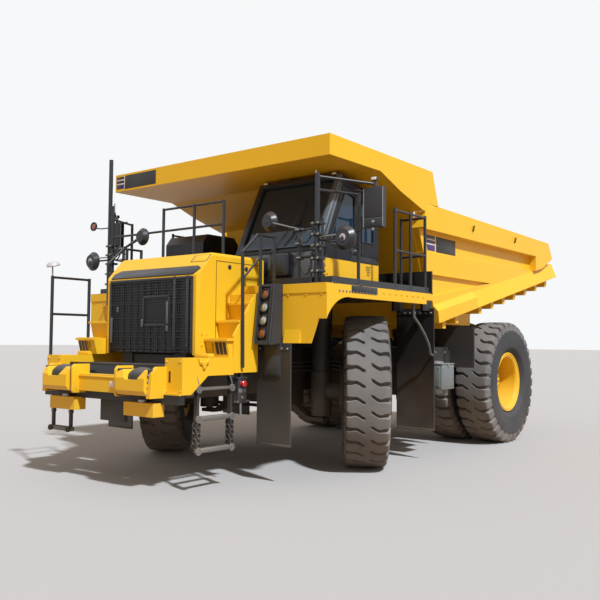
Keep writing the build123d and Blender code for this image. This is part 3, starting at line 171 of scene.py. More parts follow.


# finishes: each is a base colour with patches, dust that lies on upward faces and low down,
# fine grain in roughness and bump, and softened edges, lightened partly as wear and partly as a painted
# highlight
def makeFinish(name, color, patch=None, rough=0.5, roughSpread=0.12, metal=0.0, grain=60.0,
               bump=0.05, dust=(0.42, 0.36, 0.29), dustTop=0.15, dustLow=0.25, dustHeight=1.6,
               edge=None, soften=0.004, coat=0.0, alpha=1.0, painter=None, spec=0.5):
    s = finishSettings
    mat = bpy.data.materials.new(name)
    mat.use_nodes = True
    tree = mat.node_tree
    shader = tree.nodes["Principled BSDF"].inputs
    for socket, value in (("Metallic", metal), ("Coat Weight", coat), ("Alpha", alpha),
                          ("Specular IOR Level", spec)):
        shader[socket].default_value = value
    place = addNode(tree, "TexCoord", {})["Object"]
    patches, fine = (addNode(tree, "TexNoise", {"Scale": scale, "Detail": detail, "Vector": place})["Fac"]
                     for scale, detail in ((s["patchScale"], s["patchDetail"]), (grain, s["grainDetail"])))
    painted = mixNode(tree, patches, (*color, 1), (*(patch or [c * s["patchTone"] for c in color]), 1))
    if painter:
        painted = painter(tree, place, painted)

    # softened edges: their turned normal also finds the edges, which are lightened partly as wear and partly as
    # a painted highlight
    rounded = addNode(tree, "Bevel", {"Radius": soften}, samples=s["bevelSamples"])["Normal"]
    normal = addNode(tree, "NewGeometry", {})["Normal"]
    if edge:
        agree = addNode(tree, "VectorMath", {0: rounded, 1: normal}, operation="DOT_PRODUCT")["Value"]
        painted = mixNode(tree, rangeNode(tree, agree, s["wearAndHighlightFrom"], s["wearAndHighlightTo"]), painted, (*edge, 1))

    # dust: more where the face looks up, and more near the ground
    height = addNode(tree, "SeparateXYZ", {"Vector": place})["Z"]
    low = rangeNode(tree, height, (dustHeight, s["dustFoot"]), (0.0, dustLow))
    facing = addNode(tree, "SeparateXYZ", {"Vector": normal})["Z"]
    up = rangeNode(tree, facing, s["dustFacing"], (0.0, dustTop))
    broken = rangeNode(tree, patches, s["dustBreaks"], s["dustSpread"])
    amount = mathNode(tree, "MULTIPLY", mathNode(tree, "ADD", low, up, True), broken, True)
    tree.links.new(mixNode(tree, amount, painted, (*dust, 1)), shader["Base Color"])

    roughEnds = (max(rough - roughSpread, s["leastRough"]), min(rough + roughSpread, 1.0))
    tree.links.new(rangeNode(tree, fine, (0.0, 1.0), roughEnds), shader["Roughness"])
    relief = {"Strength": bump, "Distance": s["reliefDepth"], "Height": fine, "Normal": rounded}
    tree.links.new(addNode(tree, "Bump", relief)["Normal"], shader["Normal"])
    return mat


yellowBase = (0.83, 0.52, 0.026)
yellowPatch = (0.8, 0.475, 0.021)
# lighter colour for the edges: wear and a painted highlight
yellowEdge = (0.9, 0.64, 0.1)
# near black; its blue tint is a painted cool reflection of the sky
blackBase = (0.012, 0.014, 0.02)

cabPaintSettings = {
    "panelLow": 2.615,        # yellow side panel between the toe band and the window band
    "panelHigh": 2.9,
    "panelFront": 2.775,
    "stepX": 2.06,            # behind this the panel is taller
    "stepRise": 0.06,
    "middleY": 1.015,
    "skinHalf": 0.733,
}


# yellow only on the outer skin's lower side panel, near-black elsewhere
def paintCab(tree, place, painted):
    s = cabPaintSettings
    axes = addNode(tree, "SeparateXYZ", {"Vector": place})
    x, y, z = (axes[name] for name in "XYZ")
    behind = mathNode(tree, "LESS_THAN", x, s["stepX"])
    top = mathNode(tree, "ADD", mathNode(tree, "MULTIPLY", behind, s["stepRise"]), s["panelHigh"])
    aside = mathNode(tree, "ABSOLUTE", mathNode(tree, "SUBTRACT", y, s["middleY"]))
    inside = 1.0
    for kind, value, limit in (("GREATER_THAN", z, s["panelLow"]), ("LESS_THAN", z, top),
                               ("LESS_THAN", x, s["panelFront"]), ("GREATER_THAN", aside, s["skinHalf"])):
        inside = mathNode(tree, "MULTIPLY", inside, mathNode(tree, kind, value, limit))
    return mixNode(tree, inside, (*blackBase, 1), painted)


# paints what lies in these boxes another colour, both sides of the truck alike
def paintBoxes(boxes, color):
    def painter(tree, place, painted):
        axes = addNode(tree, "SeparateXYZ", {"Vector": place})
        folded = {"X": axes["X"], "Y": mathNode(tree, "ABSOLUTE", axes["Y"]), "Z": axes["Z"]}
        where = addNode(tree, "CombineXYZ", folded)["Vector"]
        for low, high in boxes:
            middle = [(a + b) / 2 for a, b in zip(low, high)]
            half = [(b - a) / 2 for a, b in zip(low, high)]
            away = addNode(tree, "VectorMath", {0: where, 1: middle}, operation="SUBTRACT")["Vector"]
            far = addNode(tree, "VectorMath", {0: away}, operation="ABSOLUTE")["Vector"]
            share = addNode(tree, "VectorMath", {0: far, 1: half}, operation="DIVIDE")["Vector"]
            parts = addNode(tree, "SeparateXYZ", {"Vector": share})
            most = mathNode(tree, "MAXIMUM", mathNode(tree, "MAXIMUM", parts["X"], parts["Y"]), parts["Z"])
            painted = mixNode(tree, mathNode(tree, "LESS_THAN", most, 1.0), painted, (*color, 1))
        return painted
    return painter


# parts of yellow pieces that are dark: lowest and highest corner, both sides alike
darkOnDeck = [
    ((0.4, 1.5, 0.3), (0.6, 2.25, 2.42)),          # flap behind the tyre
    ((0.6, 0.0, 2.1), (3.19, 2.262, 2.403)),       # the deck's underside and its hangers
    ((0.6, 0.8, 2.498), (0.76, 2.32, 2.9)),         # plate at the deck's rear end
    ((0.6, 0.0, 2.498), (3.45, 2.28, 2.51)),         # walkway
    ((0.4, 0.3, 1.5), (1.1, 0.7, 2.42)),
]
darkOnBumper = [
    ((3.9, 1.225, 0.3), (4.6, 1.2995, 1.369)),      # ladder
    ((4.74, 0.7, 0.5), (4.86, 1.25, 0.89)),          # hanging step
    ((4.68, 0.0, 0.7), (4.78, 0.26, 1.11)),          # flap
    ((4.15, 0.0, 1.405), (4.74, 1.015, 1.5)),        # walkway
    ((4.62, 0.0, 1.2), (4.789, 1.015, 1.5)),
    ((4.7, 0.0, 1.045), (4.845, 1.31, 1.158)),       # beam
    ((4.0, 0.4, 1.0), (4.6, 0.64, 1.41)),          # frame horns
]

glossPaint = {"grain": 180, "bump": 0.03, "spec": 0.22}
stripePaint = {"grain": 200, "bump": 0.02, "dustTop": 0.05, "dustLow": 0.05}
tintedLens = {"grain": 60, "dustTop": 0.05, "dustLow": 0.05, "coat": 0.6}
finishes = {
    "deck": makeFinish("deckPaint", yellowBase, yellowPatch, rough=0.38, **glossPaint, dustTop=0.12,
                       dustLow=0.22, dustHeight=1.5, soften=0.007,
                       painter=paintBoxes(darkOnDeck, (0.02, 0.02, 0.022))),
    "bumper": makeFinish("bumperPaint", yellowBase, yellowPatch, rough=0.38, **glossPaint, dustTop=0.1,
                         dustLow=0.28, dustHeight=1.3, soften=0.008,
                         painter=paintBoxes(darkOnBumper, (0.016, 0.018, 0.024))),
    "yellow": makeFinish("yellowPaint", yellowBase, yellowPatch, rough=0.38, **glossPaint, edge=yellowEdge,
                         dustTop=0.1, dustLow=0.3, dustHeight=1.3, soften=0.007),
    "cab": makeFinish("cabPaint", yellowBase, yellowPatch, rough=0.34, **glossPaint, dustTop=0.06, dustLow=0.0,
                      soften=0.006, painter=paintCab),
    "black": makeFinish("blackPaint", blackBase, (0.02, 0.023, 0.03), rough=0.36, grain=160,
                        bump=0.04, edge=(0.06, 0.065, 0.075), dustTop=0.1, dustLow=0.22, soften=0.004),
    # its blue tint is a painted cool reflection of the sky
    "column": makeFinish("lampColumnPaint", (0.03, 0.037, 0.05), (0.022, 0.028, 0.04), rough=0.45,
                         grain=140, bump=0.05, edge=(0.12, 0.14, 0.17), dustTop=0.1, dustLow=0.1,
                         painter=paintBoxes([((3.395, 1.15, 0.3), (3.45, 1.8, 1.7))], (0.03, 0.027, 0.024))),
    "greyPaint": makeFinish("greyPaint", (0.115, 0.12, 0.128), (0.085, 0.09, 0.098), rough=0.5, grain=130,
                            bump=0.08, edge=(0.22, 0.225, 0.23), dustTop=0.25, dustLow=0.25, soften=0.004),
    "boxPaint": makeFinish("boxPaint", (0.15, 0.185, 0.205), (0.12, 0.15, 0.17), rough=0.5, grain=120,
                           bump=0.06, edge=(0.26, 0.3, 0.32), dustTop=0.25, dustLow=0.3, soften=0.006),
    "pillar": makeFinish("pillarPaint", (0.115, 0.15, 0.185), (0.09, 0.122, 0.155), rough=0.42, grain=150,
                         bump=0.04, edge=(0.16, 0.18, 0.2), dustTop=0.06, dustLow=0.0, soften=0.006),
    "clamp": makeFinish("clampZinc", (0.3, 0.28, 0.22), (0.22, 0.2, 0.16), rough=0.45, metal=0.6,
                        grain=140, bump=0.08, dustTop=0.1, dustLow=0.1),
    "frame": makeFinish("framePaint", (0.02, 0.02, 0.022), (0.034, 0.031, 0.028), rough=0.6,
                        grain=90, bump=0.1, edge=(0.08, 0.075, 0.07), dustTop=0.35, dustLow=0.35),
    "iron": makeFinish("engineIron", (0.03, 0.03, 0.032), (0.05, 0.046, 0.042), rough=0.62,
                       grain=45, bump=0.25, dustTop=0.3, dustLow=0.3),
    # both rubbers carry a blue tint that stands in for cool skylight: painted light
    "tread": makeFinish("treadRubber", (0.092, 0.098, 0.11), (0.13, 0.136, 0.148), rough=0.86,
                        roughSpread=0.08, grain=70, bump=0.35, dust=(0.3, 0.285, 0.27), dustTop=0.25,
                        dustLow=0.45, dustHeight=3.4, edge=(0.13, 0.12, 0.11), soften=0.006, spec=0.3),
    "sidewall": makeFinish("sidewallRubber", (0.023, 0.028, 0.037), (0.036, 0.039, 0.045), rough=0.74,
                           roughSpread=0.08, grain=120, bump=0.15, dust=(0.2, 0.19, 0.185),
                           dustTop=0.1, dustLow=0.22, dustHeight=2.6, spec=0.35),
    "rubber": makeFinish("blackRubber", (0.014, 0.014, 0.015), (0.022, 0.021, 0.021), rough=0.7,
                         grain=110, bump=0.18, dust=(0.24, 0.22, 0.2), dustTop=0.3, dustLow=0.22),
    "plastic": makeFinish("mouldedPlastic", (0.02, 0.021, 0.024), (0.028, 0.029, 0.032), rough=0.52,
                          grain=260, bump=0.12, dustTop=0.2, dustLow=0.1),
    # light grey, partly their own colour and partly painted light, as they face away from the sun
    "greyPlastic": makeFinish("mirrorBack", (0.52, 0.54, 0.6), (0.44, 0.46, 0.52), rough=0.42,
                              grain=200, bump=0.06, dustTop=0.1, dustLow=0.0),
    "steel": makeFinish("galvanisedSteel", (0.33, 0.34, 0.35), (0.24, 0.25, 0.26), rough=0.42, metal=0.85,
                        grain=140, bump=0.1, dustTop=0.15, dustLow=0.25),
    "chrome": makeFinish("polishedRod", (0.62, 0.63, 0.65), (0.56, 0.57, 0.6), rough=0.14,
                         roughSpread=0.05, metal=1.0, grain=300, bump=0.02, dustTop=0.05, dustLow=0.1),
    "silver": makeFinish("mirrorGlass", (0.72, 0.75, 0.78), (0.66, 0.7, 0.74), rough=0.05,
                         roughSpread=0.02, metal=1.0, grain=20, bump=0.0, dustTop=0.0, dustLow=0.0),
    # its dark blue is partly the glass's tint and partly a painted reflection of the sky
    "glass": makeFinish("cabGlassTintAndPaintedReflection", (0.006, 0.024, 0.058), (0.012, 0.038, 0.08), rough=0.05,
                        roughSpread=0.02, grain=4, bump=0.01, dustTop=0.05, dustLow=0.0, alpha=0.92,
                        spec=0.5),
    "lampClear": makeFinish("lampLens", (0.55, 0.57, 0.58), (0.38, 0.4, 0.42), rough=0.08,
                            roughSpread=0.03, metal=0.7, grain=55, bump=0.5, dustTop=0.05, dustLow=0.05),
    "lampAmber": makeFinish("amberLens", (0.3, 0.085, 0.02), (0.2, 0.05, 0.012), rough=0.16,
                            bump=0.5, **tintedLens),
    "lampRed": makeFinish("redLens", (0.55, 0.02, 0.015), (0.38, 0.012, 0.01), rough=0.2,
                          bump=0.4, **tintedLens),
    "blue": makeFinish("stripeBlue", (0.022, 0.014, 0.16), (0.03, 0.02, 0.19), rough=0.4, **stripePaint),
    # the next two bars are the blue stripe darkened by painted shadow, the second more deeply
    "bluePaintedHalfShadow": makeFinish("stripeBlueInPaintedHalfShadow", (0.012, 0.01, 0.075), (0.016, 0.013, 0.095), rough=0.4, **stripePaint),
    "bluePaintedDeepShadow": makeFinish("stripeBlueInPaintedDeepShadow", (0.016, 0.008, 0.03), (0.022, 0.012, 0.04), rough=0.4, **stripePaint),
    "white": makeFinish("stripeWhite", (0.78, 0.78, 0.76), (0.72, 0.72, 0.69), rough=0.45, **stripePaint),
    "sign": makeFinish("signBlack", (0.014, 0.013, 0.013), (0.022, 0.02, 0.019), rough=0.42, **stripePaint),
    "mud": makeFinish("dustyFlap", (0.03, 0.028, 0.026), (0.052, 0.048, 0.043), rough=0.8, grain=30,
                      bump=0.3, dust=(0.27, 0.245, 0.21), dustTop=0.2, dustLow=0.35, dustHeight=1.7),
    "vinyl": makeFinish("seatVinyl", (0.03, 0.031, 0.034), (0.04, 0.041, 0.045), rough=0.6, grain=400,
                        bump=0.2, dustTop=0.1, dustLow=0.0),
}
nodeFinish = {
    "deck": ("deck_left", "deck_right"),
    "bumper": ("front_bumper",),
    "yellow": ("bed_floor", "bed_side_left", "bed_side_right", "bed_front", "hood",
               "stair_left", "stair_right", "rim_front_left", "rim_front_right",
               "rims_rear_left", "rims_rear_right", "bed_beam_left", "bed_beam_right"),
    "cab": ("cab_shell", "door_left", "door_right"),
    "column": ("lamp_column_left", "lamp_column_right"),
    "black": ("radiator_grille", "handrail_left", "handrail_right", "tie_rod", "wing_rail", "air_cleaner"),
    "frame": ("frame_rails", "rear_axle", "front_suspension", "knuckle_left", "knuckle_right",
              "tank_left", "tank_right", "hoist_barrel_left", "hoist_barrel_right"),
    "iron": ("engine_block",),
    "chrome": ("hoist_stage_left", "hoist_stage_right", "hoist_rod_left", "hoist_rod_right"),
    "glass": ("windscreen",),
    "plastic": ("cab_seat",),
    "tread": tuple(name for name in nodes if name.startswith("tyre_")),
}
for finish, names in nodeFinish.items():
    for name in names:
        if name in nodes:
            mesh = nodes[name].data
            mesh.materials.clear()
            mesh.materials.append(finishes[finish])
print("finishes:", len(finishes))


# small modelling helpers
def deselectAll():
    bpy.ops.object.select_all(action="DESELECT")


def pickOnly(obj):
    deselectAll()
    obj.select_set(True)
    bpy.context.view_layer.objects.active = obj


def addModifier(obj, kind, **values):
    pickOnly(obj)
    modifier = obj.modifiers.new(kind.lower(), kind)
    for key, value in values.items():
        setattr(modifier, key, value)
    bpy.ops.object.modifier_apply(modifier=modifier.name)


# runs each step in edit mode with the active object's whole mesh selected
def editAll(*steps):
    bpy.ops.object.mode_set(mode="EDIT")
    for step in steps:
        bpy.ops.mesh.select_all(action="SELECT")
        step()
    bpy.ops.object.mode_set(mode="OBJECT")


def faceOutwards():
    bpy.ops.mesh.normals_make_consistent(inside=False)


def joinParts(parts):
    deselectAll()
    for part in parts:
        part.select_set(True)
    bpy.context.view_layer.objects.active = parts[0]
    if len(parts) > 1:
        bpy.ops.object.join()
    return bpy.context.object


def dropParts(parts):
    for part in parts:
        bpy.data.objects.remove(part)


# leaves the object at the origin, unturned and unscaled
def settle(obj):
    pickOnly(obj)
    bpy.ops.object.transform_apply(location=True, rotation=True, scale=True)


# a box between two corners, its edges rounded
def block(low, high, bevel=0.006, segments=2, finish="black"):
    deselectAll()
    middle = [(a + b) / 2 for a, b in zip(low, high)]
    bpy.ops.mesh.primitive_cube_add(size=1, location=middle)
    obj = bpy.context.object
    obj.scale = [max(abs(b - a), 0.0005) for a, b in zip(low, high)]
    settle(obj)
    if bevel:
        addModifier(obj, "BEVEL", width=bevel, segments=segments, limit_method="ANGLE")
    obj.data.materials.append(finishes[finish])
    return obj


# a closed outline in the two other axes, as thick as from start to end along this one
def prism(outline, axis, start, end, bevel=0.0, finish="black"):
    deselectAll()
    bpy.ops.mesh.primitive_circle_add(vertices=len(outline), fill_type="NGON")
    obj = bpy.context.object
    for vertex, (a, b) in zip(obj.data.vertices, outline):
        vertex.co = {"x": (start, a, b), "y": (a, start, b), "z": (a, b, start)}[axis]
    step = {"x": (end - start, 0, 0), "y": (0, end - start, 0), "z": (0, 0, end - start)}[axis]
    editAll(lambda: bpy.ops.mesh.extrude_region_move(TRANSFORM_OT_translate={"value": step}), faceOutwards)
    if bevel:
        addModifier(obj, "BEVEL", width=bevel, segments=2, limit_method="ANGLE")
    obj.data.materials.append(finishes[finish])
    return obj


# a round bar along straight runs between points
def tube(points, radius, finish="black", sides=4):
    deselectAll()
    bpy.ops.curve.primitive_bezier_curve_add()
    obj = bpy.context.object
    curve = obj.data
    curve.splines.clear()
    run = curve.splines.new("POLY")
    run.points.add(len(points) - 1)
    for point, place in zip(run.points, points):
        point.co = (*place, 1)
    obj.location = (0, 0, 0)
    curve.bevel_depth = radius
    curve.bevel_resolution = sides
    curve.use_fill_caps = True
    pickOnly(obj)
    bpy.ops.object.convert(target="MESH")
    obj = bpy.context.object
    obj.data.materials.clear()
    obj.data.materials.append(finishes[finish])
    return obj


# a closed outline of (radius, distance along the axis), spun about that axis
def lathe(profile, centre, axis, finish="black", steps=48):
    deselectAll()
    bpy.ops.mesh.primitive_circle_add(vertices=len(profile), fill_type="NOTHING")
    obj = bpy.context.object
    turn = Vector((0, 0, 1)).rotation_difference(Vector(axis).normalized()).to_matrix()
    for vertex, (radius, along) in zip(obj.data.vertices, profile):
        vertex.co = Vector(centre) + turn @ Vector((radius, 0, along))
    editAll(lambda: bpy.ops.mesh.spin(steps=steps, angle=math.tau, center=centre,
                                      axis=Vector(axis).normalized()),
            lambda: bpy.ops.mesh.remove_doubles(threshold=0.0004), faceOutwards)
    obj.data.materials.append(finishes[finish])
    return obj


# a copy with a mesh of its own, moved or turned by a matrix or an offset
def copyMoved(obj, place):
    twin = obj.copy()
    twin.data = obj.data.copy()
    bpy.context.collection.objects.link(twin)
    twin.data.transform(place if isinstance(place, Matrix) else Matrix.Translation(place))
    return twin


# a copy on the other side of the truck's middle
def mirrored(obj):
    twin = copyMoved(obj, Matrix.Diagonal((1, -1, 1, 1)))
    twin.data.flip_normals()
    return twin


# joins the parts into one named piece that rides on a body
def finishPiece(name, parts, body, angle=35, replaced=()):
    piece = joinParts(parts)
    settle(piece)
    piece.name = name
    piece.data.name = name
    bpy.ops.object.shade_smooth_by_angle(angle=math.radians(angle))
    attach(piece, body)
    if replaced:
        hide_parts(*replaced)
    return piece


# six-sided bolt heads on washers
def bolts(places, axis, radius=0.014, height=0.012, finish="steel"):
    deselectAll()
    made = []
    turn = Vector((0, 0, 1)).rotation_difference(Vector(axis).normalized())
    for sides, r, low, high in ((16, radius * 1.5, 0, height * 0.25), (6, radius, height * 0.2, height)):
        bpy.ops.mesh.primitive_cylinder_add(vertices=sides, radius=r, depth=high - low,
                                            location=(0, 0, (low + high) / 2))
        settle(bpy.context.object)
        made.append(bpy.context.object)
    head = joinParts(made)
    head.data.transform(turn.to_matrix().to_4x4())
    head.data.materials.append(finishes[finish])
    heads = [copyMoved(head, place) for place in places]
    dropParts([head])
    return heads


# tyres: one tread is laid out flat, then wrapped round the wheel
tyreSettings = {
    "pitches": 32,                 # lugs on each shoulder
    "grooveHalf": 0.026,           # half the groove's width at the middle of a lug row
    "grooveMouth": 0.046,          # the same at the shoulder
    "wall": 0.013,                 # how far the groove's sides lean
    "depth": 0.062,
    # half of the section: distance from the middle, radius, depth of a groove there, its shift round
    "section": [
        (0.0, 1.08, 0.0, 0.0), (0.035, 1.08, 0.0, 0.005), (0.055, 1.0798, 0.6, 0.012),
        (0.075, 1.0796, 1.0, 0.022), (0.11, 1.079, 1.0, 0.048), (0.145, 1.0778, 1.0, 0.066),
        (0.18, 1.0762, 1.0, 0.068), (0.215, 1.074, 1.0, 0.06), (0.25, 1.07, 1.0, 0.062),
        (0.274, 1.063, 1.0, 0.066), (0.288, 1.045, 1.0, 0.068), (0.297, 1.01, 0.85, 0.068),
        (0.305, 0.97, 0.55, 0.068), (0.313, 0.93, 0.25, 0.068), (0.318, 0.905, 0.0, 0.068),
        (0.3225, 0.87, 0.0, 0.0), (0.3195, 0.864, 0.0, 0.0), (0.3265, 0.82, 0.0, 0.0),
        (0.327, 0.77, 0.0, 0.0), (0.3225, 0.71, 0.0, 0.0), (0.315, 0.66, 0.0, 0.0),
        (0.3155, 0.652, 0.0, 0.0), (0.3, 0.615, 0.0, 0.0), (0.296, 0.612, 0.0, 0.0),
        (0.27, 0.575, 0.0, 0.0), (0.238, 0.556, 0.0, 0.0), (0.217, 0.536, 0.0, 0.0),
        (0.215, 0.49, 0.0, 0.0)],
}


def makeTyre():
    s = tyreSettings
    half = s["section"]
    rows = [(-y, r, d, shift, -1) for y, r, d, shift in reversed(half[1:])]
    rows += [(y, r, d, shift, 1) for y, r, d, shift in half]
    pitch = math.tau * 1.08 / s["pitches"]
    g, w = s["grooveHalf"], s["wall"]
    # columns in one pitch: offset round the tyre, which side's groove they belong to, floor or not
    columns = [(-g, 1, 0), (-g + w, 1, 1), (g - w, 1, 1), (g, 1, 0), (pitch * 0.25, 0, 0),
               (pitch / 2 - g, -1, 0), (pitch / 2 - g + w, -1, 1), (pitch / 2 + g - w, -1, 1),
               (pitch / 2 + g, -1, 0), (pitch * 0.75, 0, 0)]
    across, around = len(rows), len(columns) * s["pitches"]
    deselectAll()
    bpy.ops.mesh.primitive_grid_add(x_subdivisions=around, y_subdivisions=across - 1, size=2)
    obj = bpy.context.object
    vertices = obj.data.vertices
    for vertex in vertices:
        column = round((vertex.co.x + 1) / 2 * around)
        row = round((vertex.co.y + 1) / 2 * (across - 1))
        y, radius, deep, shift, side = rows[row]
        lug, index = divmod(column, len(columns))
        offset, owner, floor = columns[index % len(columns)]
        opened = owner == side and deep > 0
        # the mouth widens towards the shoulder
        if owner and owner == side:
            middle = 0 if owner == 1 else pitch / 2
            spread = 1 + (s["grooveMouth"] / g - 1) * max(0, (abs(y) - 0.18) / 0.12) if abs(y) < 0.33 else 1
            offset = middle + (offset - middle) * min(spread, s["grooveMouth"] / g)
        turn = (lug * pitch + offset - side * shift) / 1.08
        sunk = s["depth"] * deep if opened and floor else 0
        lean = 0.35 if abs(y) > 0.285 else 0.0
        radius -= sunk * (1 - lean)
        y -= math.copysign(sunk * lean, y)
        vertex.co = (radius * math.cos(turn), y, radius * math.sin(turn))
    editAll(lambda: bpy.ops.mesh.remove_doubles(threshold=0.0003), faceOutwards)
    # close the bead between the two edges
    inner = half[-1]
    bead = lathe([(inner[1], -inner[0]), (inner[1], inner[0]), (inner[1] - 0.04, inner[0]),
                  (inner[1] - 0.04, -inner[0])], (0, 0, 0), (0, 1, 0), "sidewall", steps=64)
    obj.data.materials.append(finishes["tread"])
    obj.data.materials.append(finishes["sidewall"])
    for polygon in obj.data.polygons:
        middle = polygon.center
        if math.hypot(middle.x, middle.z) < 0.935:
            polygon.material_index = 1
    return joinParts([obj, bead])


# the matrix that sets a piece that faces +Y at a wheel's place
def wheelPlace(centre, axis):
    turn = math.atan2(-axis[0], axis[1])
    return Matrix.Translation(centre) @ Matrix.Rotation(turn, 4, "Z")


tyrePattern = makeTyre()
for side, sign in (("left", 1), ("right", -1)):
    front = joints["wheel_front_" + side]
    facing = [sign * value for value in front["axis"]]
    wheels = [("tyre_front_" + side, front["pos_m"], facing, "wheel_front_" + side)]
    for row in ("outer", "inner"):
        low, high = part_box("tyre_rear_" + row + "_" + side)
        wheels.append(("tyre_rear_" + row + "_" + side, (low + high) / 2, (0, sign, 0), "wheel_rear_" + side))
    for node, centre, axis, body in wheels:
        tyre = copyMoved(tyrePattern, wheelPlace(centre, axis))
        finishPiece(node.replace("tyre", "treadTyre"), [tyre], body, 30, [node])
dropParts([tyrePattern])
print("tyres done")

# hood and grille
hoodSettings = {
    "half": 0.9,
    "front": 4.18,
    "foldZ": 2.6, "foldX": 3.91, "top": 2.905,       # the slope above the grille
    "grilleHalf": 0.815,
    "grilleLow": 1.64, "grilleHigh": 2.56,
    "meshFace": 4.168,
    "meshPitch": 0.036,
    "wire": 0.003,
    "postsY": (0.482, 0.7175),
    "panel": (-0.12, 0.4, 1.97, 2.36),                 # darker rectangle behind the mesh: y, y, z, z
}


# a point on the slope above the grille, share of the way up it, this far off it
def onHoodSlope(share, lift):
    s = hoodSettings
    run, rise = s["foldX"] - s["front"], s["top"] - s["foldZ"]
    length = math.hypot(run, rise)
    out = (rise / length, -run / length)
    return (s["front"] + run * share + out[0] * lift, s["foldZ"] + rise * share + out[1] * lift)


# a plate on the hood's slope: corners are (y, share of the way up)
def slopePlate(corners, lift, thick, bevel, finish):
    plate = prism([(y, share) for y, share in corners], "x", 0, thick, 0, finish)
    for vertex in plate.data.vertices:
        height = lift if vertex.co.x > thick / 2 else lift - thick
        x, z = onHoodSlope(vertex.co.z, height)
        vertex.co = (x, vertex.co.y, z)
    editAll(faceOutwards)
    if bevel:
        addModifier(plate, "BEVEL", width=bevel, segments=2, limit_method="ANGLE")
    return plate


def dressHood():
    s = hoodSettings
    # black bar with slanted ends above the grille, and its thin lower lip
    bar = [slopePlate([(-0.8, 0.03), (0.805, 0.03), (0.865, 0.3), (0.8, 0.4), (-0.69, 0.4), (-0.8, 0.25)],
                      0.016, 0.014, 0.004, "black"),
           block((s["meshFace"] - 0.01, -0.8, 2.56), (s["front"] + 0.014, 0.805, 2.592), 0.006)]
    finishPiece("hoodBar", bar, "chassis")

    # woven wire guard: every wire is one long bar
    wires = []
    y = -s["grilleHalf"] + 0.04
    upright = block((s["meshFace"] + 0.012, y, s["grilleLow"]), (s["meshFace"] + 0.018, y + 2 * s["wire"],
                    s["grilleHigh"]), 0)
    count = int((2 * s["grilleHalf"] - 0.08) / s["meshPitch"])
    for step in range(count + 1):
        wires.append(copyMoved(upright, (0, step * s["meshPitch"], 0)))
    level = block((s["meshFace"] + 0.018, -s["grilleHalf"] + 0.02, s["grilleLow"]),
                  (s["meshFace"] + 0.023, s["grilleHalf"] - 0.02, s["grilleLow"] + 2 * s["wire"]), 0)
    for step in range(int((s["grilleHigh"] - s["grilleLow"]) / s["meshPitch"]) + 1):
        wires.append(copyMoved(level, (0, 0, step * s["meshPitch"])))
    dropParts([upright, level])
    finishPiece("grilleMesh", wires, "chassis")

    # two heavy posts, the hinged panel behind, its catches and the small ladders
    posts = []
    for y in s["postsY"]:
        posts.append(block((s["meshFace"], y - 0.024, s["grilleLow"] - 0.02), (s["front"] + 0.012, y + 0.024,
                                                                               2.6),
                           0.007))
        for z in (1.72, 2.02, 2.32, 2.5):
            posts += bolts([(s["front"] + 0.011, y, z)], (1, 0, 0), 0.01, 0.008, "black")
    y0, y1, z0, z1 = s["panel"]
    rim = 0.022
    for low, high in (((y0, z0), (y0 + rim, z1)), ((y1 - rim, z0), (y1, z1)),
                      ((y0, z0), (y1, z0 + rim)), ((y0, z1 - rim), (y1, z1))):
        posts.append(block((s["meshFace"] + 0.004, low[0], low[1]), (s["meshFace"] + 0.026, high[0], high[1]),
                           0.004))
    posts.append(block((s["meshFace"] - 0.01, y0, z0), (s["meshFace"] + 0.006, y1, z1), 0.004, finish="column"))
    finishPiece("grillePosts", posts, "chassis")

    catches = []
    for y, z, high in ((0.365, 2.0, 0.28), (-0.115, 1.96, 0.1), (0.365, 1.9, 0.07), (-0.62, 2.16, 0.07),
                       (-0.745, 1.75, 0.34)):
        x = s["meshFace"] + 0.03
        catches.append(block((x, y - 0.014, z), (x + 0.008, y - 0.008, z + high), 0.002, finish="steel"))
        catches.append(block((x, y + 0.008, z), (x + 0.008, y + 0.014, z + high), 0.002, finish="steel"))
        rungs = max(2, int(high / 0.035))
        for rung in range(rungs):
            at = z + 0.012 + rung * (high - 0.024) / (rungs - 1)
            catches.append(block((x, y - 0.014, at - 0.003), (x + 0.007, y + 0.014, at + 0.003), 0.001,
                                 finish="steel"))
    finishPiece("grilleCatches", catches, "chassis")

    # hatch on the slope's left end, side panels' seams, hinges and turn catches
    seams = [slopePlate([(0.6, 0.62), (0.86, 0.62), (0.86, 0.9), (0.6, 0.9)], 0.004, 0.003, 0.001, "yellow"),
             slopePlate([(0.585, 0.605), (0.875, 0.605), (0.875, 0.915), (0.585, 0.915)], 0.0015, 0.002, 0,
                        "sign")]
    for sign in (1, -1):
        y = sign * (s["half"] + 0.0015)
        for low, high in (((3.02, 1.98), (3.86, 1.986)), ((3.86, 1.66), (3.866, 2.8)),
                          ((3.02, 2.8), (3.866, 2.806))):
            seams.append(block((low[0], y - 0.002, low[1]), (high[0], y + 0.002, high[1]), 0, finish="sign"))
        for x, z in ((3.3, 2.74), (3.62, 2.74)):
            seams.append(lathe([(0.0, -0.004), (0.03, -0.004), (0.03, 0.006), (0.022, 0.012), (0.0, 0.012)],
                               (x, y, z), (0, sign, 0), "black", 20))
        for x in (4.02, 4.1):
            seams += bolts([(x, y, 1.72), (x, y, 1.86)], (0, sign, 0), 0.009, 0.008, "yellow")
    finishPiece("hoodSeams", seams, "chassis")


dressHood()
print("hood done")

# stripes and blank signs
signSettings = {
    "lipFace": 3.1,
    "wallFace": 1.985,
    # the upper two bars are blue with painted shadow, darkest at the top
    "lipBars": ((4.345, 4.385, "bluePaintedDeepShadow"), (4.326, 4.341, "white"), (4.282, 4.322, "bluePaintedHalfShadow"),
                (4.262, 4.278, "white"),
                (4.195, 4.258, "blue")),
    # the upper two bars are blue with painted shadow, darkest at the top
    "wallBars": ((3.407, 3.462, "bluePaintedDeepShadow"), (3.389, 3.404, "white"), (3.334, 3.386, "bluePaintedHalfShadow"),
                 (3.315, 3.331, "white"),
                 (3.222, 3.312, "blue")),
}


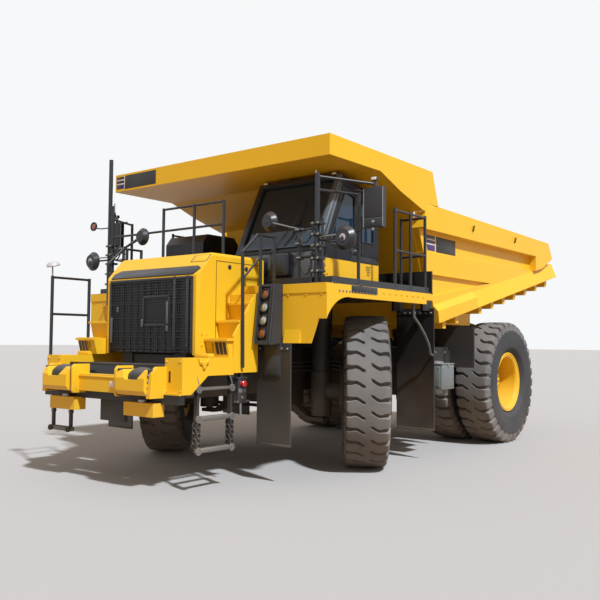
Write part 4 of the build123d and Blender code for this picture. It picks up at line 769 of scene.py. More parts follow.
def dressSigns():
    s = signSettings
    x = s["lipFace"]
    stripes = []
    # three blue bars, the upper two darkened by painted shadow, then a long black plate, at the lip's
    # right-hand end
    for z0, z1, finish in s["lipBars"]:
        stripes.append(block((x - 0.002, -2.095, z0), (x + 0.0025, -1.915, z1), 0.001, finish=finish))
    finishPiece("lipStripes", stripes, "bed")
    plate = [block((x - 0.002, -1.895, 4.18), (x + 0.003, -1.16, 4.395), 0.002, finish="sign"),
             block((x - 0.002, -1.907, 4.18), (x + 0.0035, -1.898, 4.395), 0.001, finish="white")]
    finishPiece("lipSign", plate, "bed")
    for side, sign in (("left", 1), ("right", -1)):
        y = sign * s["wallFace"]
        flat = (y - 0.002 * sign, y + 0.003 * sign)
        low, high = min(flat), max(flat)
        bars = []
        # the upper bars are blue in painted shadow
        for z0, z1, finish in s["wallBars"]:
            bars.append(block((0.055, low, z0), (0.385, high, z1), 0.001, finish=finish))
        finishPiece("wallStripes." + side, bars, "bed")
        plate = [block((-0.66, low, 3.215), (0.015, high, 3.462), 0.002, finish="sign"),
                 block((0.022, low, 3.215), (0.034, high, 3.462), 0.001, finish="white")]
        finishPiece("wallSign." + side, plate, "bed")


dressSigns()
print("signs done")

# lamps: bezel and lens
lampSettings = {
    "foot": (3.48, 2.5), "lean": 90 / 760,
    "y": 1.455,
    "heights": (1.88, 2.045, 2.21, 2.375),
    "lens": ("lampAmber", "lampClear", "lampClear", "lampAmber"),
    "radius": 0.066,
}


def makeLamp(centre, axis, radius, lens, bezel="black"):
    r = radius
    return [lathe([(r * 0.72, 0.0), (r * 1.0, 0.0), (r * 1.06, r * 0.25), (r * 1.0, r * 0.42),
                   (r * 0.9, r * 0.42), (r * 0.84, r * 0.18), (r * 0.72, r * 0.1)], centre, axis, bezel, 32),
            lathe([(0.0, r * 0.05), (r * 0.86, r * 0.05), (r * 0.86, r * 0.16), (r * 0.62, r * 0.3),
                   (r * 0.3, r * 0.38), (0.0, r * 0.4)], centre, axis, lens, 32)]


def dressLamps():
    s = lampSettings
    lamps = []
    for z, lens in zip(s["heights"], s["lens"]):
        x = s["foot"][0] + (s["foot"][1] - z) * s["lean"] + 0.036
        lamps += makeLamp((x, s["y"], z), (1, 0, 0.1), s["radius"], lens)
        # square holder round each lamp
        lamps.append(block((x - 0.034, s["y"] - 0.074, z - 0.076), (x - 0.008, s["y"] + 0.074, z + 0.076),
                           0.01))
    both = lamps + [mirrored(part) for part in lamps]
    finishPiece("headLamps", both, "chassis")
    # column's front edges, bolted cover and foot plate
    trim = []
    for sign in (1, -1):
        for y in (1.362, 1.608):
            trim.append(tube([(3.64, sign * y, 1.76), (3.552, sign * y, 2.492)], 0.01, "column"))
        trim += bolts([(3.6, sign * 1.585, 1.83), (3.575, sign * 1.585, 2.1), (3.55, sign * 1.585, 2.37)],
                      (1, 0, 0.12), 0.01, 0.01, "column")
        trim.append(block((3.405, sign * 1.36, 1.36), (3.45, sign * 1.61, 1.6), 0.01, finish="column"))
    finishPiece("lampTrim", trim, "chassis")


dressLamps()
print("lamps done")

# bumper: dome caps, rubber packs, walkway grip and small fittings
bumperSettings = {
    "noseY": 0.755, "noseTop": 1.33,
    "wingOut": 1.307, "wingFront": 4.805, "wingTop": 1.58,
}


def dressBumper():
    s = bumperSettings
    caps, packs, grip, plates = [], [], [], []
    for sign in (1, -1):
        y = sign * s["noseY"]
        # domed rubber cap in the notch of each nose
        cap = lathe([(0.0, 0.0), (0.18, 0.0), (0.186, 0.034), (0.166, 0.086), (0.113, 0.122), (0.053, 0.138),
                     (0.0, 0.142)], (4.925, y, s["noseTop"] - 0.004), (0.14, 0, 1), "rubber", 36)
        cap.data.transform(Matrix.Translation((4.925, y, 0)) @ Matrix.Diagonal((0.74, 1.02, 1, 1))
                           @ Matrix.Translation((-4.925, -y, 0)))
        caps.append(cap)
        caps.append(block((4.8, y - 0.15, 1.345), (4.925, y + 0.15, 1.432), 0.02, 3, "rubber"))
        # rubber and bolts between the nose and its outer plate
        edge = sign * 0.978
        packs.append(block((4.83, min(edge, edge + sign * 0.03), 1.13), (5.035, max(edge, edge + sign * 0.03),
                           1.452), 0.008, finish="rubber"))
        packs += bolts([(5.036, edge + sign * 0.014, z) for z in (1.17, 1.24, 1.31, 1.38)], (1, 0, 0), 0.012,
                       0.012)
        inner = sorted((sign * 0.445, sign * 0.482))
        packs.append(block((4.83, inner[0], 1.13), (5.035, inner[1], 1.452), 0.008, finish="rubber"))
        cheek = sorted((sign * 0.405, sign * 0.445))
        plates.append(prism([(4.79, 1.12), (5.03, 1.12), (5.05, 1.15), (5.05, 1.44), (5.02, 1.48),
                             (4.79, 1.48)], "y",
                            cheek[0], cheek[1], 0.006, "yellow"))
        # pin through the tow bracket
        packs.append(lathe([(0.0, 0.0), (0.037, 0.0), (0.037, 0.165), (0.056, 0.165), (0.056, 0.195),
                            (0.03, 0.205),
                            (0.0, 0.205)], (4.89, sign * 0.74, 0.897), (0, 0, 1), "steel", 24))
        # upright slot in the wing's front, two-pronged lug on its side
        plates.append(block((s["wingFront"] - 0.004, sign * 1.085, 1.3), (s["wingFront"] + 0.003, sign * 1.115,
                            1.43), 0.001, finish="sign"))
        lug = [(4.38, 1.575), (4.4, 1.51), (4.44, 1.5), (4.455, 1.45), (4.485, 1.45), (4.5, 1.5), (4.54, 1.51),
               (4.56, 1.575), (4.53, 1.575), (4.51, 1.545), (4.43, 1.545), (4.41, 1.575)]
        a, b = sign * s["wingOut"], sign * (s["wingOut"] + 0.022)
        plates.append(prism(lug, "y", min(a, b), max(a, b), 0.004, "yellow"))
        plates += bolts([(4.46, b, 1.475), (4.42, b, 1.53), (4.52, b, 1.53)], (0, sign, 0), 0.009, 0.008,
                        "yellow")
        plates += bolts([(s["wingFront"], sign * y1, z) for y1 in (1.045, 1.275) for z in (1.2, 1.54)],
                        (1, 0, 0), 0.012, 0.01, "yellow")
        # fold along the wing's rear foot
        plates.append(block((4.26, sign * 1.03, s["wingTop"]), (4.36, sign * 1.28, s["wingTop"] + 0.05), 0.012,
                            finish="yellow"))
    # small blank plate on the middle panel, its frame and bolts
    plates.append(block((4.95, 0.2, 1.215), (4.954, 0.33, 1.285), 0.001, finish="white"))
    plates.append(block((4.948, -0.44, 1.325), (4.962, 0.44, 1.345), 0.005, finish="yellow"))
    plates += bolts([(4.951, y, z) for y in (-0.43, 0.43) for z in (1.19, 1.31)], (1, 0, 0), 0.012, 0.01,
                    "yellow")
    finishPiece("noseCaps", caps, "chassis", 50)
    finishPiece("nosePacks", packs, "chassis")
    finishPiece("bumperPlates", plates, "chassis")

    # raised grip bars over the walkway, and its angled front strip
    for step in range(24):
        x = 4.22 + step * 0.017
        grip.append(block((x, -0.98, 1.479), (x + 0.006, 0.98, 1.485), 0.001))
    grip.append(block((4.655, -1.0, 1.47), (4.668, 1.0, 1.492), 0.003))
    grip += bolts([(4.735, y, 1.302) for y in (-0.9, -0.6, -0.3, 0.0, 0.3, 0.6, 0.9)], (1, 0, 0), 0.012, 0.01,
                  "black")
    finishPiece("walkwayGrip", grip, "chassis")


dressBumper()
print("bumper done")
# rims: turned flanges, wide dish, case and nuts, modelled facing +Y about the wheel's middle
# the rim's outer lip and throat down to the well: (radius, distance out)
def lip(face):
    return [(0.53, face - 0.022), (0.53, face), (0.524, face + 0.007), (0.508, face + 0.007),
            (0.503, face - 0.006),
            (0.496, face - 0.006), (0.49, face + 0.002), (0.478, face), (0.448, face - 0.018), (0.434,
                                                                                                face - 0.038)]


rimProfiles = {
    "front": lip(0.238) + [
        (0.43, 0.16), (0.42, 0.112), (0.405, 0.1), (0.345, 0.1), (0.335, 0.112), (0.24, 0.112), (0.228, 0.1),
        (0.215, 0.104), (0.21, 0.116), (0.206, 0.188), (0.15, 0.19), (0.128, 0.206), (0.06, 0.216), (0.0,
                                                                                                     0.217),
        (0.0, 0.04), (0.21, 0.04), (0.21, 0.06), (0.403, 0.06), (0.403, -0.238), (0.53, -0.238),
        (0.53, -0.216), (0.445, -0.216), (0.445, 0.216)],
    "rear": lip(0.618) + [
        (0.43, 0.54), (0.424, 0.4), (0.408, 0.2), (0.395, 0.06), (0.385, 0.02), (0.304, 0.02), (0.3, 0.04),
        (0.3, 0.31), (0.29, 0.33), (0.215, 0.33), (0.21, 0.34), (0.206, 0.36), (0.066, 0.36), (0.06, 0.376),
        (0.04, 0.39), (0.0, 0.392), (0.0, -0.3), (0.3, -0.3), (0.3, -0.02), (0.403, -0.02), (0.403, -0.618),
        (0.53, -0.618), (0.53, -0.596), (0.445, -0.596), (0.445, -0.164), (0.53, -0.164), (0.53, -0.142),
        (0.445, -0.142), (0.445, 0.142), (0.53, 0.142), (0.53, 0.164), (0.445, 0.164), (0.445, 0.596)],
}
rimNuts = {
    "front": ((20, 0.3, 0.112, 0.017, 0.024), (12, 0.178, 0.19, 0.012, 0.014), (1, 0.0, 0.217, 0.02, 0.014)),
    "rear": ((24, 0.344, 0.02, 0.018, 0.03), (24, 0.262, 0.33, 0.013, 0.014), (12, 0.178, 0.36, 0.011, 0.012),
             (2, 0.112, 0.36, 0.018, 0.018)),
}


def makeRim(kind):
    face = rimProfiles[kind][1][1]
    parts = [lathe(rimProfiles[kind], (0, 0, 0), (0, 1, 0), "yellow", 80)]
    for count, ring, out, radius, high in rimNuts[kind]:
        turns = [math.tau * n / count for n in range(count)]
        parts += bolts([(ring * math.cos(turn), out, ring * math.sin(turn)) for turn in turns], (0, 1, 0),
                       radius, high)
    # split in the lock ring, and the valve
    parts.append(block((0.478, face - 0.004, -0.006), (0.505, face + 0.003, 0.006), 0.002, finish="sign"))
    parts.append(tube([(0.428, face - 0.11, 0.02), (0.405, face - 0.06, 0.02), (0.405, face - 0.02, 0.02)],
                      0.007,
                      "steel", 3))
    # ribs round the hub
    for n in range(6 if kind == "rear" else 0):
        rib = block((0.205, 0.328, -0.007), (0.245, 0.35, 0.007), 0.003, finish="yellow")
        rib.data.transform(Matrix.Rotation(math.tau * n / 6, 4, "Y"))
        parts.append(rib)
    return parts


for kind in ("front", "rear"):
    pattern = makeRim(kind)
    for side, sign in (("left", 1), ("right", -1)):
        if kind == "front":
            front = joints["wheel_front_" + side]
            place = wheelPlace(front["pos_m"], [sign * value for value in front["axis"]])
            node = "rim_front_" + side
        else:
            node = "rims_rear_" + side
            low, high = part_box(node)
            middle = (low + high) / 2
            place = wheelPlace((middle[0], sign * 1.54, middle[2]), (0, sign, 0))
        finishPiece("rimTurned.%s_%s" % (kind, side), [copyMoved(part, place) for part in pattern],
                    "wheel_%s_%s" % (kind, side), 30, [node])
    dropParts(pattern)
print("rims done")

# ladder below the left wing and the step that hangs at the other end
ladderSettings = {
    "rails": (3.97, 4.53), "faceY": 1.29, "backY": 1.24,
    "rungs": (0.5, 0.87, 1.215),
    "linkPitch": 0.06, "linkHigh": 0.086, "linkWide": 0.066,
}


# a flat oval ring standing upright
def makeLink(centre, wide, high, thick, axis, finish="rubber"):
    obj = lathe([(0.5 - 0.16, -0.5), (0.5 - 0.05, -0.5), (0.5, -0.2), (0.5, 0.2), (0.5 - 0.05, 0.5),
                 (0.5 - 0.16, 0.5),
                 (0.5 - 0.2, 0.2), (0.5 - 0.2, -0.2)], (0, 0, 0), (0, 0, 1), finish, 20)
    shape = Matrix.Diagonal((wide, high, thick, 1))
    if axis == "y":
        turn = Matrix(((1, 0, 0, 0), (0, 0, 1, 0), (0, 1, 0, 0), (0, 0, 0, 1)))
    else:
        turn = Matrix(((0, 0, 1, 0), (1, 0, 0, 0), (0, 1, 0, 0), (0, 0, 0, 1)))
    obj.data.transform(Matrix.Translation(centre) @ turn @ shape)
    pickOnly(obj)
    editAll(faceOutwards)
    return obj


def dressLadder():
    s = ladderSettings
    links, rungs = [], []
    front = makeLink((0, 0, 0), s["linkWide"], s["linkHigh"], 0.02, "y")
    side = makeLink((0, 0, 0), 0.078, s["linkHigh"], 0.018, "x")
    for x in s["rails"]:
        z = s["rungs"][0] + 0.055
        step = 0
        while z < s["rungs"][1] - 0.03:
            if step % 2:
                links.append(copyMoved(side, (x - 0.029, 1.265, z)))
                links.append(copyMoved(side, (x + 0.029, 1.265, z)))
            else:
                links.append(copyMoved(front, (x, s["faceY"] + 0.01, z)))
                links.append(copyMoved(front, (x, s["backY"] - 0.01, z)))
            z += s["linkPitch"]
            step += 1
        # eyes where the rungs meet the sides
        for z in s["rungs"]:
            links.append(lathe([(0.018, -0.012), (0.044, -0.012), (0.046, 0.0), (0.044, 0.012), (0.018, 0.012)],
                               (x, s["faceY"] + 0.012, z), (0, 1, 0), "greyPaint", 24))
            links += bolts([(x, s["faceY"] + 0.016, z)], (0, 1, 0), 0.012, 0.014)
        # shackle and strap at the top
        links.append(tube([(x, 1.3, 1.2), (x + 0.01, 1.304, 1.29), (x + 0.045, 1.3, 1.37)], 0.008, "steel", 3))
        links.append(block((x - 0.03, 1.288, 1.33), (x + 0.03, 1.302, 1.385), 0.005, finish="column"))
    dropParts([front, side])
    for z in s["rungs"]:
        high = 0.026 if z < 1.0 else 0.018
        rungs.append(block((s["rails"][0] + 0.02, 1.228, z - high), (s["rails"][1] - 0.02, 1.304, z + high),
                           0.012, 3,
                           "greyPaint"))
        # punched grip on the rung's top
        for step in range(16):
            x = s["rails"][0] + 0.045 + step * 0.0314
            rungs.append(block((x - 0.006, 1.238, z + high - 0.002), (x + 0.006, 1.294, z + high + 0.004),
                               0.002, 1,
                               "greyPaint"))
    finishPiece("ladderLinks", links, "chassis")
    finishPiece("ladderRungs", rungs, "chassis")

    # switch box behind the ladder: case, red knob, label plate, bracket and hanging cord end
    case = [block((3.7, 1.215, 1.01), (3.86, 1.3, 1.33), 0.012),
            block((3.69, 1.21, 1.315), (3.87, 1.306, 1.335), 0.004, finish="column"),
            lathe([(0.0, 0.0), (0.034, 0.0), (0.034, 0.01), (0.022, 0.014), (0.022, 0.026), (0.04, 0.03),
                   (0.042, 0.044), (0.034, 0.052), (0.0, 0.056)], (3.79, 1.3, 1.255), (0, 1, 0), "lampRed", 28),
            block((3.725, 1.299, 1.145), (3.85, 1.304, 1.195), 0.003, finish="steel"),
            lathe([(0.0, 0.0), (0.017, 0.0), (0.017, 0.014), (0.0, 0.016)], (3.79, 1.3, 1.085), (0, 1, 0),
                  "steel", 20),
            block((3.64, 1.24, 1.03), (3.88, 1.3, 1.045), 0.004, finish="steel"),
            tube([(3.8, 1.285, 1.03), (3.8, 1.29, 0.86)], 0.014, "steel", 3),
            block((3.76, 1.23, 1.32), (3.8, 1.29, 1.42), 0.004)]
    finishPiece("switchBox", case, "chassis")

    # hanging step: links down both sides, gripped tread
    step = [block((4.756, -1.196, 0.598), (4.834, -0.744, 0.652), 0.014, 3, "greyPaint")]
    for y in (-1.16, -0.78):
        # rubber straps in two lengths, pinned where they meet
        for low, high in ((0.655, 0.838), (0.862, 1.045)):
            step.append(block((4.776, y - 0.03, low), (4.808, y + 0.03, high), 0.012, 3, "rubber"))
        step.append(lathe([(0.0, -0.024), (0.026, -0.024), (0.034, -0.012), (0.034, 0.012), (0.026, 0.024),
                           (0.0, 0.024)],
                          (4.792, y, 0.85), (1, 0, 0), "rubber", 20))
        step += bolts([(4.815, y, 0.85)], (1, 0, 0), 0.012, 0.01)
        step.append(lathe([(0.014, -0.014), (0.038, -0.014), (0.038, 0.014), (0.014, 0.014)], (4.838, y, 0.625),
                          (1, 0, 0), "rubber", 20))
        step += bolts([(4.806, y, 1.035)], (1, 0, 0), 0.014, 0.014)
    for n in range(11):
        y = -1.15 + n * 0.036
        step.append(block((4.764, y - 0.006, 0.65), (4.826, y + 0.006, 0.656), 0.002, 1, "greyPaint"))
    finishPiece("hangingStep", step, "chassis")


dressLadder()
print("ladder and step done")
# cab: glass, seals, pillars, trim and the inside
cabSettings = {
    "foot": (2.83, 3.0), "slope": (0.9009, 0.4341),   # the windscreen's lower edge, and which way it faces
    "screenY": (0.37, 1.66), "screenEnds": (0.06, 1.141),
    "side": 1.75, "middle": 1.015,
    "doorWindow": [(1.98, 3.13), (2.575, 3.13), (2.22, 3.865), (1.98, 3.808)],
    "sideWindow": [(1.49, 3.2), (1.82, 3.2), (1.82, 3.79), (1.49, 3.71)],
    "door": [(1.905, 2.605), (2.685, 2.605), (2.685, 3.09), (2.275, 3.955), (1.905, 3.865)],
}


# sets a part built as (off the glass, across, up the glass) on the windscreen's slope
def onScreen(part):
    s = cabSettings
    out, up = s["slope"]
    part.data.transform(Matrix(((out, 0, -up, s["foot"][0]), (0, 1, 0, 0), (up, 0, out, s["foot"][1]),
                                (0, 0, 0, 1))))
    return part


# a copy on the other side of the cab's middle
def acrossCab(part):
    twin = copyMoved(part, Matrix.Translation((0, 2 * cabSettings["middle"], 0)) @ Matrix.Diagonal((1, -1, 1,
                                                                                                    1)))
    twin.data.flip_normals()
    return twin


def loopTube(outline, y, radius, finish="rubber"):
    points = [(x, y, z) for x, z in outline]
    return tube(points + [points[0]], radius, finish, 2)


def dressCab():
    s = cabSettings
    y0, y1 = s["screenY"]
    s0, s1 = s["screenEnds"]
    side = s["side"]
    seal = [(0.006, y0, s0), (0.006, y1, s0), (0.006, y1, s1), (0.006, y0, s1)]
    front = [onScreen(tube(seal + [seal[0]], 0.013, "rubber", 2)),
             onScreen(block((-0.03, y1 + 0.01, -0.015), (0.02, side + 0.003, 1.215), 0.012, 3, "pillar")),
             onScreen(block((-0.03, 0.277, -0.015), (0.02, y0 - 0.01, 1.215), 0.012, 3, "black")),
             onScreen(block((-0.02, y0 - 0.01, s1 + 0.012), (0.03, y1 + 0.01, 1.222), 0.01, 3, "black"))]
    # wiper: motor cover, two arms and the blade
    front += [onScreen(lathe([(0, 0), (0.034, 0), (0.03, 0.028), (0, 0.036)], (0.004, 0.98, 0.02), (1, 0, 0),
                             "black", 20)),
              onScreen(tube([(0.034, 0.98, 0.02), (0.04, 1.14, 0.3), (0.034, 1.24, 0.53)], 0.007, "black", 2)),
              onScreen(tube([(0.034, 1.02, 0.02), (0.04, 1.17, 0.29), (0.034, 1.26, 0.5)], 0.005, "black", 2)),
              onScreen(block((0.016, 1.238, 0.22), (0.03, 1.25, 0.84), 0.003, 1, "rubber"))]
    # sill below the glass: panel, seams, rounded box and bolts
    front += [block((2.826, 0.3, 2.52), (2.838, side, 2.975), 0.004, 2, "greyPaint"),
              block((2.836, 1.04, 2.64), (2.99, 1.36, 2.965), 0.04, 4, "black"),
              block((2.988, 1.1, 2.7), (2.998, 1.3, 2.9), 0.012, 3, "black"),
              block((2.836, 0.4, 2.7), (2.852, 0.9, 2.94), 0.01, 2, "black")]
    front += bolts([(2.838, y, z) for y in (0.34, 0.95, 1.45, 1.7) for z in (2.6, 2.93)], (1, 0, 0), 0.01,
                   0.01, "black")
    # small lamps and lifting eyes at the roof's front edge
    for y in (0.4, 1.64):
        front.append(block((2.255, y - 0.045, 4.085), (2.33, y + 0.045, 4.128), 0.01, 2, "black"))
        front.append(block((2.322, y - 0.036, 4.091), (2.338, y + 0.036, 4.122), 0.006, 2, "white"))
    for y in (0.55, 1.015, 1.48):
        front.append(block((1.42, y - 0.012, 4.028), (2.2, y + 0.012, 4.112), 0.006, 2, "black"))
    finishPiece("cabFront", front, "chassis")

    # both sides: side window, seams, step plate, grab bar, vent slots and reflector
    panes, trim = [], []
    pane = prism(s["sideWindow"], "y", side - 0.024, side - 0.016, 0.0, "glass")
    panes += [pane, acrossCab(pane), block((1.368, 0.425, 3.145), (1.376, 1.605, 3.605), 0.0, finish="glass")]
    edges = [loopTube(s["sideWindow"], side + 0.002, 0.011),
             tube([(1.353, 0.43, 3.15), (1.353, 1.6, 3.15), (1.353, 1.6, 3.6), (1.353, 0.43, 3.6),
                   (1.353, 0.43, 3.15)],
                  0.011, "rubber", 2)]
    trim += [edges[0], acrossCab(edges[0]), edges[1]]
    for x, z, long in ((1.56, 2.85, 0.012), (1.585, 2.85, 0.105), (1.585, 2.826, 0.105), (1.585, 2.802, 0.105),
                       (1.585, 2.778, 0.08), (1.6, 2.754, 0.06), (1.6, 2.73, 0.06)):
        slot = block((x, side - 0.001, z), (x + long, side + 0.003, z + 0.009), 0.0, finish="sign")
        trim += [slot, acrossCab(slot)]
    both = [lathe([(0, 0), (0.036, 0), (0.034, 0.01), (0, 0.013)], (2.715, side, 2.79), (0, 1, 0), "lampAmber",
                  24),
            block((1.36, side - 0.002, 2.9), (2.06, side + 0.006, 2.985), 0.006, 2, "black"),
            block((2.7, side - 0.002, 2.985), (2.825, side + 0.004, 3.02), 0.005, 2, "greyPaint"),
            block((1.37, side - 0.002, 2.515), (2.82, side + 0.01, 2.6), 0.008, 2, "black"),
            tube([(1.875, side, 2.98), (1.875, side + 0.055, 3.01), (1.875, side + 0.055, 3.55),
                  (1.875, side, 3.58)],
                 0.011, "black", 3),
            prism([(2.708, 3.05), (2.752, 3.05), (2.33, 3.965), (2.292, 3.965)], "y", side - 0.004,
                  side + 0.006, 0.004,
                  "pillar")]
    both += bolts([(x, side + 0.01, 2.557) for x in (1.45, 1.75, 2.05, 2.35, 2.65)], (0, 1, 0), 0.01, 0.01,
                  "black")
    trim += both + [acrossCab(part) for part in both]
    # air conditioner's grid and a plate on the rear wall
    trim += [block((1.33, 0.5, 2.62), (1.352, 1.53, 3.02), 0.008, 2, "black")]
    for n in range(12):
        trim.append(block((1.322, 0.54, 2.65 + n * 0.029), (1.334, 1.49, 2.66 + n * 0.029), 0.003, 1,
                          "greyPaint"))
    finishPiece("cabPanes", panes, "chassis")
    finishPiece("cabTrim", trim, "chassis")

    # doors: pane, seal, seam, handle and hinges ride on each leaf
    for name, flip in (("left", False), ("right", True)):
        pane = [prism(s["doorWindow"], "y", side - 0.019, side - 0.012, 0.0, "glass")]
        parts = [loopTube(s["doorWindow"], side + 0.001, 0.011), loopTube(s["door"], side - 0.002, 0.006),
                 block((1.935, side - 0.002, 3.015), (2.075, side + 0.006, 3.085), 0.008, 2, "black"),
                 tube([(1.95, side, 3.05), (1.955, side + 0.032, 3.052), (2.055, side + 0.032, 3.052),
                       (2.06, side, 3.05)],
                      0.008, "chrome", 3),
                 lathe([(0, 0), (0.012, 0), (0.012, 0.006), (0, 0.008)], (2.04, side + 0.004, 3.03), (0, 1, 0),
                       "steel", 16),
                 block((2.1, side - 0.001, 3.096), (2.58, side + 0.006, 3.112), 0.003, 1, "greyPaint")]
        parts += [block((2.655, side - 0.002, z - 0.035), (2.69, side + 0.012, z + 0.035), 0.005, 2, "black")
                  for z in (2.72, 3.01)]
        if flip:
            plain = pane + parts
            pane, parts = ([acrossCab(part) for part in kind] for kind in (pane, parts))
            dropParts(plain)
        finishPiece("doorPane." + name, pane, "door_%s_leaf" % name)
        finishPiece("doorTrim." + name, parts, "door_%s_leaf" % name)


dressCab()
print("cab done")

# operator's seat: full pads with piping, on a sprung base, and the controls before it
seatSettings = {
    "cushion": ((1.7, 0.76, 2.8), (2.28, 1.3, 2.95), 0.0),
    "back": ((1.655, 0.78, 2.96), (1.785, 1.28, 3.4), -0.15),      # the last value is its lean
    "head": ((1.6, 0.89, 3.425), (1.705, 1.17, 3.615), -0.15),
    "crown": 0.022, "pinch": 0.016, "corner": 0.03, "fill": 0.94, "cuts": 13,
    "channels": (-0.46, 0.46), "channelDeep": 0.012, "channelWide": 0.09,
    "piping": (-0.86, 0.86), "pipingSteps": 64,
}


# where a point of a stuffed block lies; u, v and w run from -1 to 1 over the plain block
def padShape(low, high, lean, u, v, w):
    s = seatSettings
    place = [u, v, w]
    size = [(b - a) / 2 for a, b in zip(low, high)]
    spot = []
    for axis in range(3):
        a, b, c = place[axis], place[(axis + 1) % 3], place[(axis + 2) % 3]
        # faces swell in their middles; edges draw in between the corners
        swell = s["crown"] * a * abs(a) * (1 - b * b) * (1 - c * c)
        draw = s["pinch"] * a * (max(abs(b), abs(c)) ** 6) * (1 - min(abs(b), abs(c)) ** 2)
        corner = s["corner"] * a * (abs(b) ** 5) * (abs(c) ** 5)
        spot.append((low[axis] + high[axis]) / 2 + a * size[axis] * s["fill"] + swell - draw - corner)
    spot[0] += lean * (spot[2] - low[2])
    return spot


# one stuffed pad and the piping along its seams
def makePad(low, high, lean):
    s = seatSettings
    deselectAll()
    bpy.ops.mesh.primitive_cube_add(size=2)
    pad = bpy.context.object
    editAll(lambda: bpy.ops.mesh.subdivide(number_cuts=s["cuts"]))
    thin = min(range(3), key=lambda axis: high[axis] - low[axis])
    others = [axis for axis in range(3) if axis != thin]
    for vertex in pad.data.vertices:
        u, v, w = vertex.co
        across = vertex.co[others[1]]
        spot = Vector(padShape(low, high, lean, u, v, w))
        # two stitched channels sink into the wide faces
        if abs(vertex.co[thin]) > 0.99:
            for line in s["channels"]:
                sunk = s["channelDeep"] * math.exp(-((across - line) / s["channelWide"]) ** 2)
                spot[thin] -= math.copysign(1, vertex.co[thin]) * sunk
        vertex.co = spot
    settle(pad)
    addModifier(pad, "SUBSURF", levels=1, render_levels=1)
    pad.data.materials.append(finishes["vinyl"])
    piping = []
    for level in s["piping"]:
        ring = []
        for n in range(s["pipingSteps"]):
            turn = math.tau * n / s["pipingSteps"]
            a, b = math.cos(turn), math.sin(turn)
            most = max(abs(a), abs(b))
            point = [0, 0, 0]
            point[thin], point[others[0]], point[others[1]] = level, a / most, b / most
            ring.append(padShape(low, high, lean, *point))
        piping.append(tube(ring + [ring[0]], 0.0045, "rubber", 2))
    return pad, piping


def dressSeat():
    s = seatSettings
    pads, hard = [], []
    for part in ("cushion", "back", "head"):
        pad, piping = makePad(*s[part])
        pads.append(pad)
        hard += piping
    # base: rails, bellows, pan and back frame
    hard += [block((1.76, 0.8, 2.56), (2.24, 1.26, 2.59), 0.006), block((1.74, 0.79, 2.775), (2.26, 1.27,
                                                                                              2.806), 0.008)]
    for n in range(6):
        inset = 0.012 * (n % 2)
        hard.append(block((1.785 + inset, 0.815 + inset, 2.59 + n * 0.031), (2.215 - inset, 1.245 - inset,
                                                                             2.621 + n * 0.031),
                          0.008, 2, "rubber"))
    hard += [prism([(1.65, 2.93), (1.685, 2.93), (1.6, 3.5), (1.575, 3.5)], "y", 0.83, 1.23, 0.008),
             tube([(1.62, 0.97, 3.38), (1.612, 0.97, 3.46)], 0.008, "steel"), tube([(1.62, 1.09, 3.38),
                                                                                    (1.612, 1.09,
                                                                                     3.46)], 0.008, "steel")]
    for y in (0.735, 1.325):
        hard.append(block((1.75, y - 0.03, 3.085), (2.06, y + 0.03, 3.125), 0.016, 3))
        hard.append(tube([(1.7, y, 3.06), (1.77, y, 3.095)], 0.014))
    # belt across the cushion, its buckle and lever knobs
    hard += [tube([(1.74, 0.8, 2.93), (1.9, 0.86, 2.992), (2.05, 1.02, 3.0)], 0.008, "rubber", 2),
             block((2.035, 1.0, 2.985), (2.075, 1.045, 3.012), 0.006, 2, "lampRed"),
             tube([(2.1, 0.66, 2.58), (2.16, 0.66, 3.05)], 0.01, "steel"),
             lathe([(0, 0), (0.02, 0.004), (0.028, 0.03), (0.02, 0.056), (0, 0.06)], (2.155, 0.66, 3.04),
                   (0.12, 0, 1), "plastic", 20),
             block((1.95, 0.6, 2.562), (2.3, 0.72, 2.86), 0.02, 3, "plastic")]
    # dashboard with gauges, floor mat, pedals, column and wheel
    hard += [prism([(2.48, 2.562), (2.68, 2.562), (2.68, 3.005), (2.6, 3.01), (2.48, 2.9)], "y", 0.48, 1.5,
                   0.014, "plastic"),
             block((2.2, 0.86, 2.562), (2.55, 1.2, 2.6), 0.006, 2, "rubber")]
    for y in (0.9, 1.03, 1.16):
        hard.append(lathe([(0, 0), (0.045, 0), (0.045, 0.006), (0.038, 0.008), (0.036, 0.003), (0, 0.003)],
                          (2.535, y, 2.955),
                          (-0.68, 0, 0.73), "greyPaint", 28))
    for y in (0.94, 1.12):
        hard.append(block((2.395, y - 0.03, 2.6), (2.415, y + 0.03, 2.69), 0.006, 2, "rubber"))
    axis = Vector((-0.18, 0, 0.21)).normalized()
    hub = Vector((2.35, 1.03, 3.205))
    hard += [tube([(2.54, 1.03, 2.98), tuple(hub)], 0.028, "plastic"),
             lathe([(0.188 + 0.014 * math.cos(n * math.tau / 10),
                     0.014 * math.sin(n * math.tau / 10)) for n in range(10)],
                   tuple(hub), tuple(axis), "rubber", 48),
             lathe([(0, -0.02), (0.05, -0.02), (0.048, 0.012), (0.02, 0.02), (0, 0.021)], tuple(hub),
                   tuple(axis), "plastic", 28)]
    aside = Vector((0, 1, 0))
    along = axis.cross(aside)
    for turn in (90, 210, 330):
        reach = hub + (aside * math.cos(math.radians(turn)) + along * math.sin(math.radians(turn))) * 0.185
        hard.append(tube([tuple(hub), tuple(reach)], 0.01, "plastic", 2))
    cushions = finishPiece("seatPads", pads, "chassis", 60, ["cab_seat"])
    finishPiece("cabInterior", hard, "chassis", 35, ["cab_seat"])


dressSeat()
print("seat done")

# mirrors, masts and the fittings on the handrails
mirrorSettings = {
    "mast": (3.22, 2.02), "mastTop": 3.9,
    "flat": ((2.69, 2.4, 3.22), (2.75, 2.6975, 3.74)),
    "domes": (((3.25, 1.262, 3.35), 0.13), ((3.25, 2.465, 3.045), 0.15)),
}


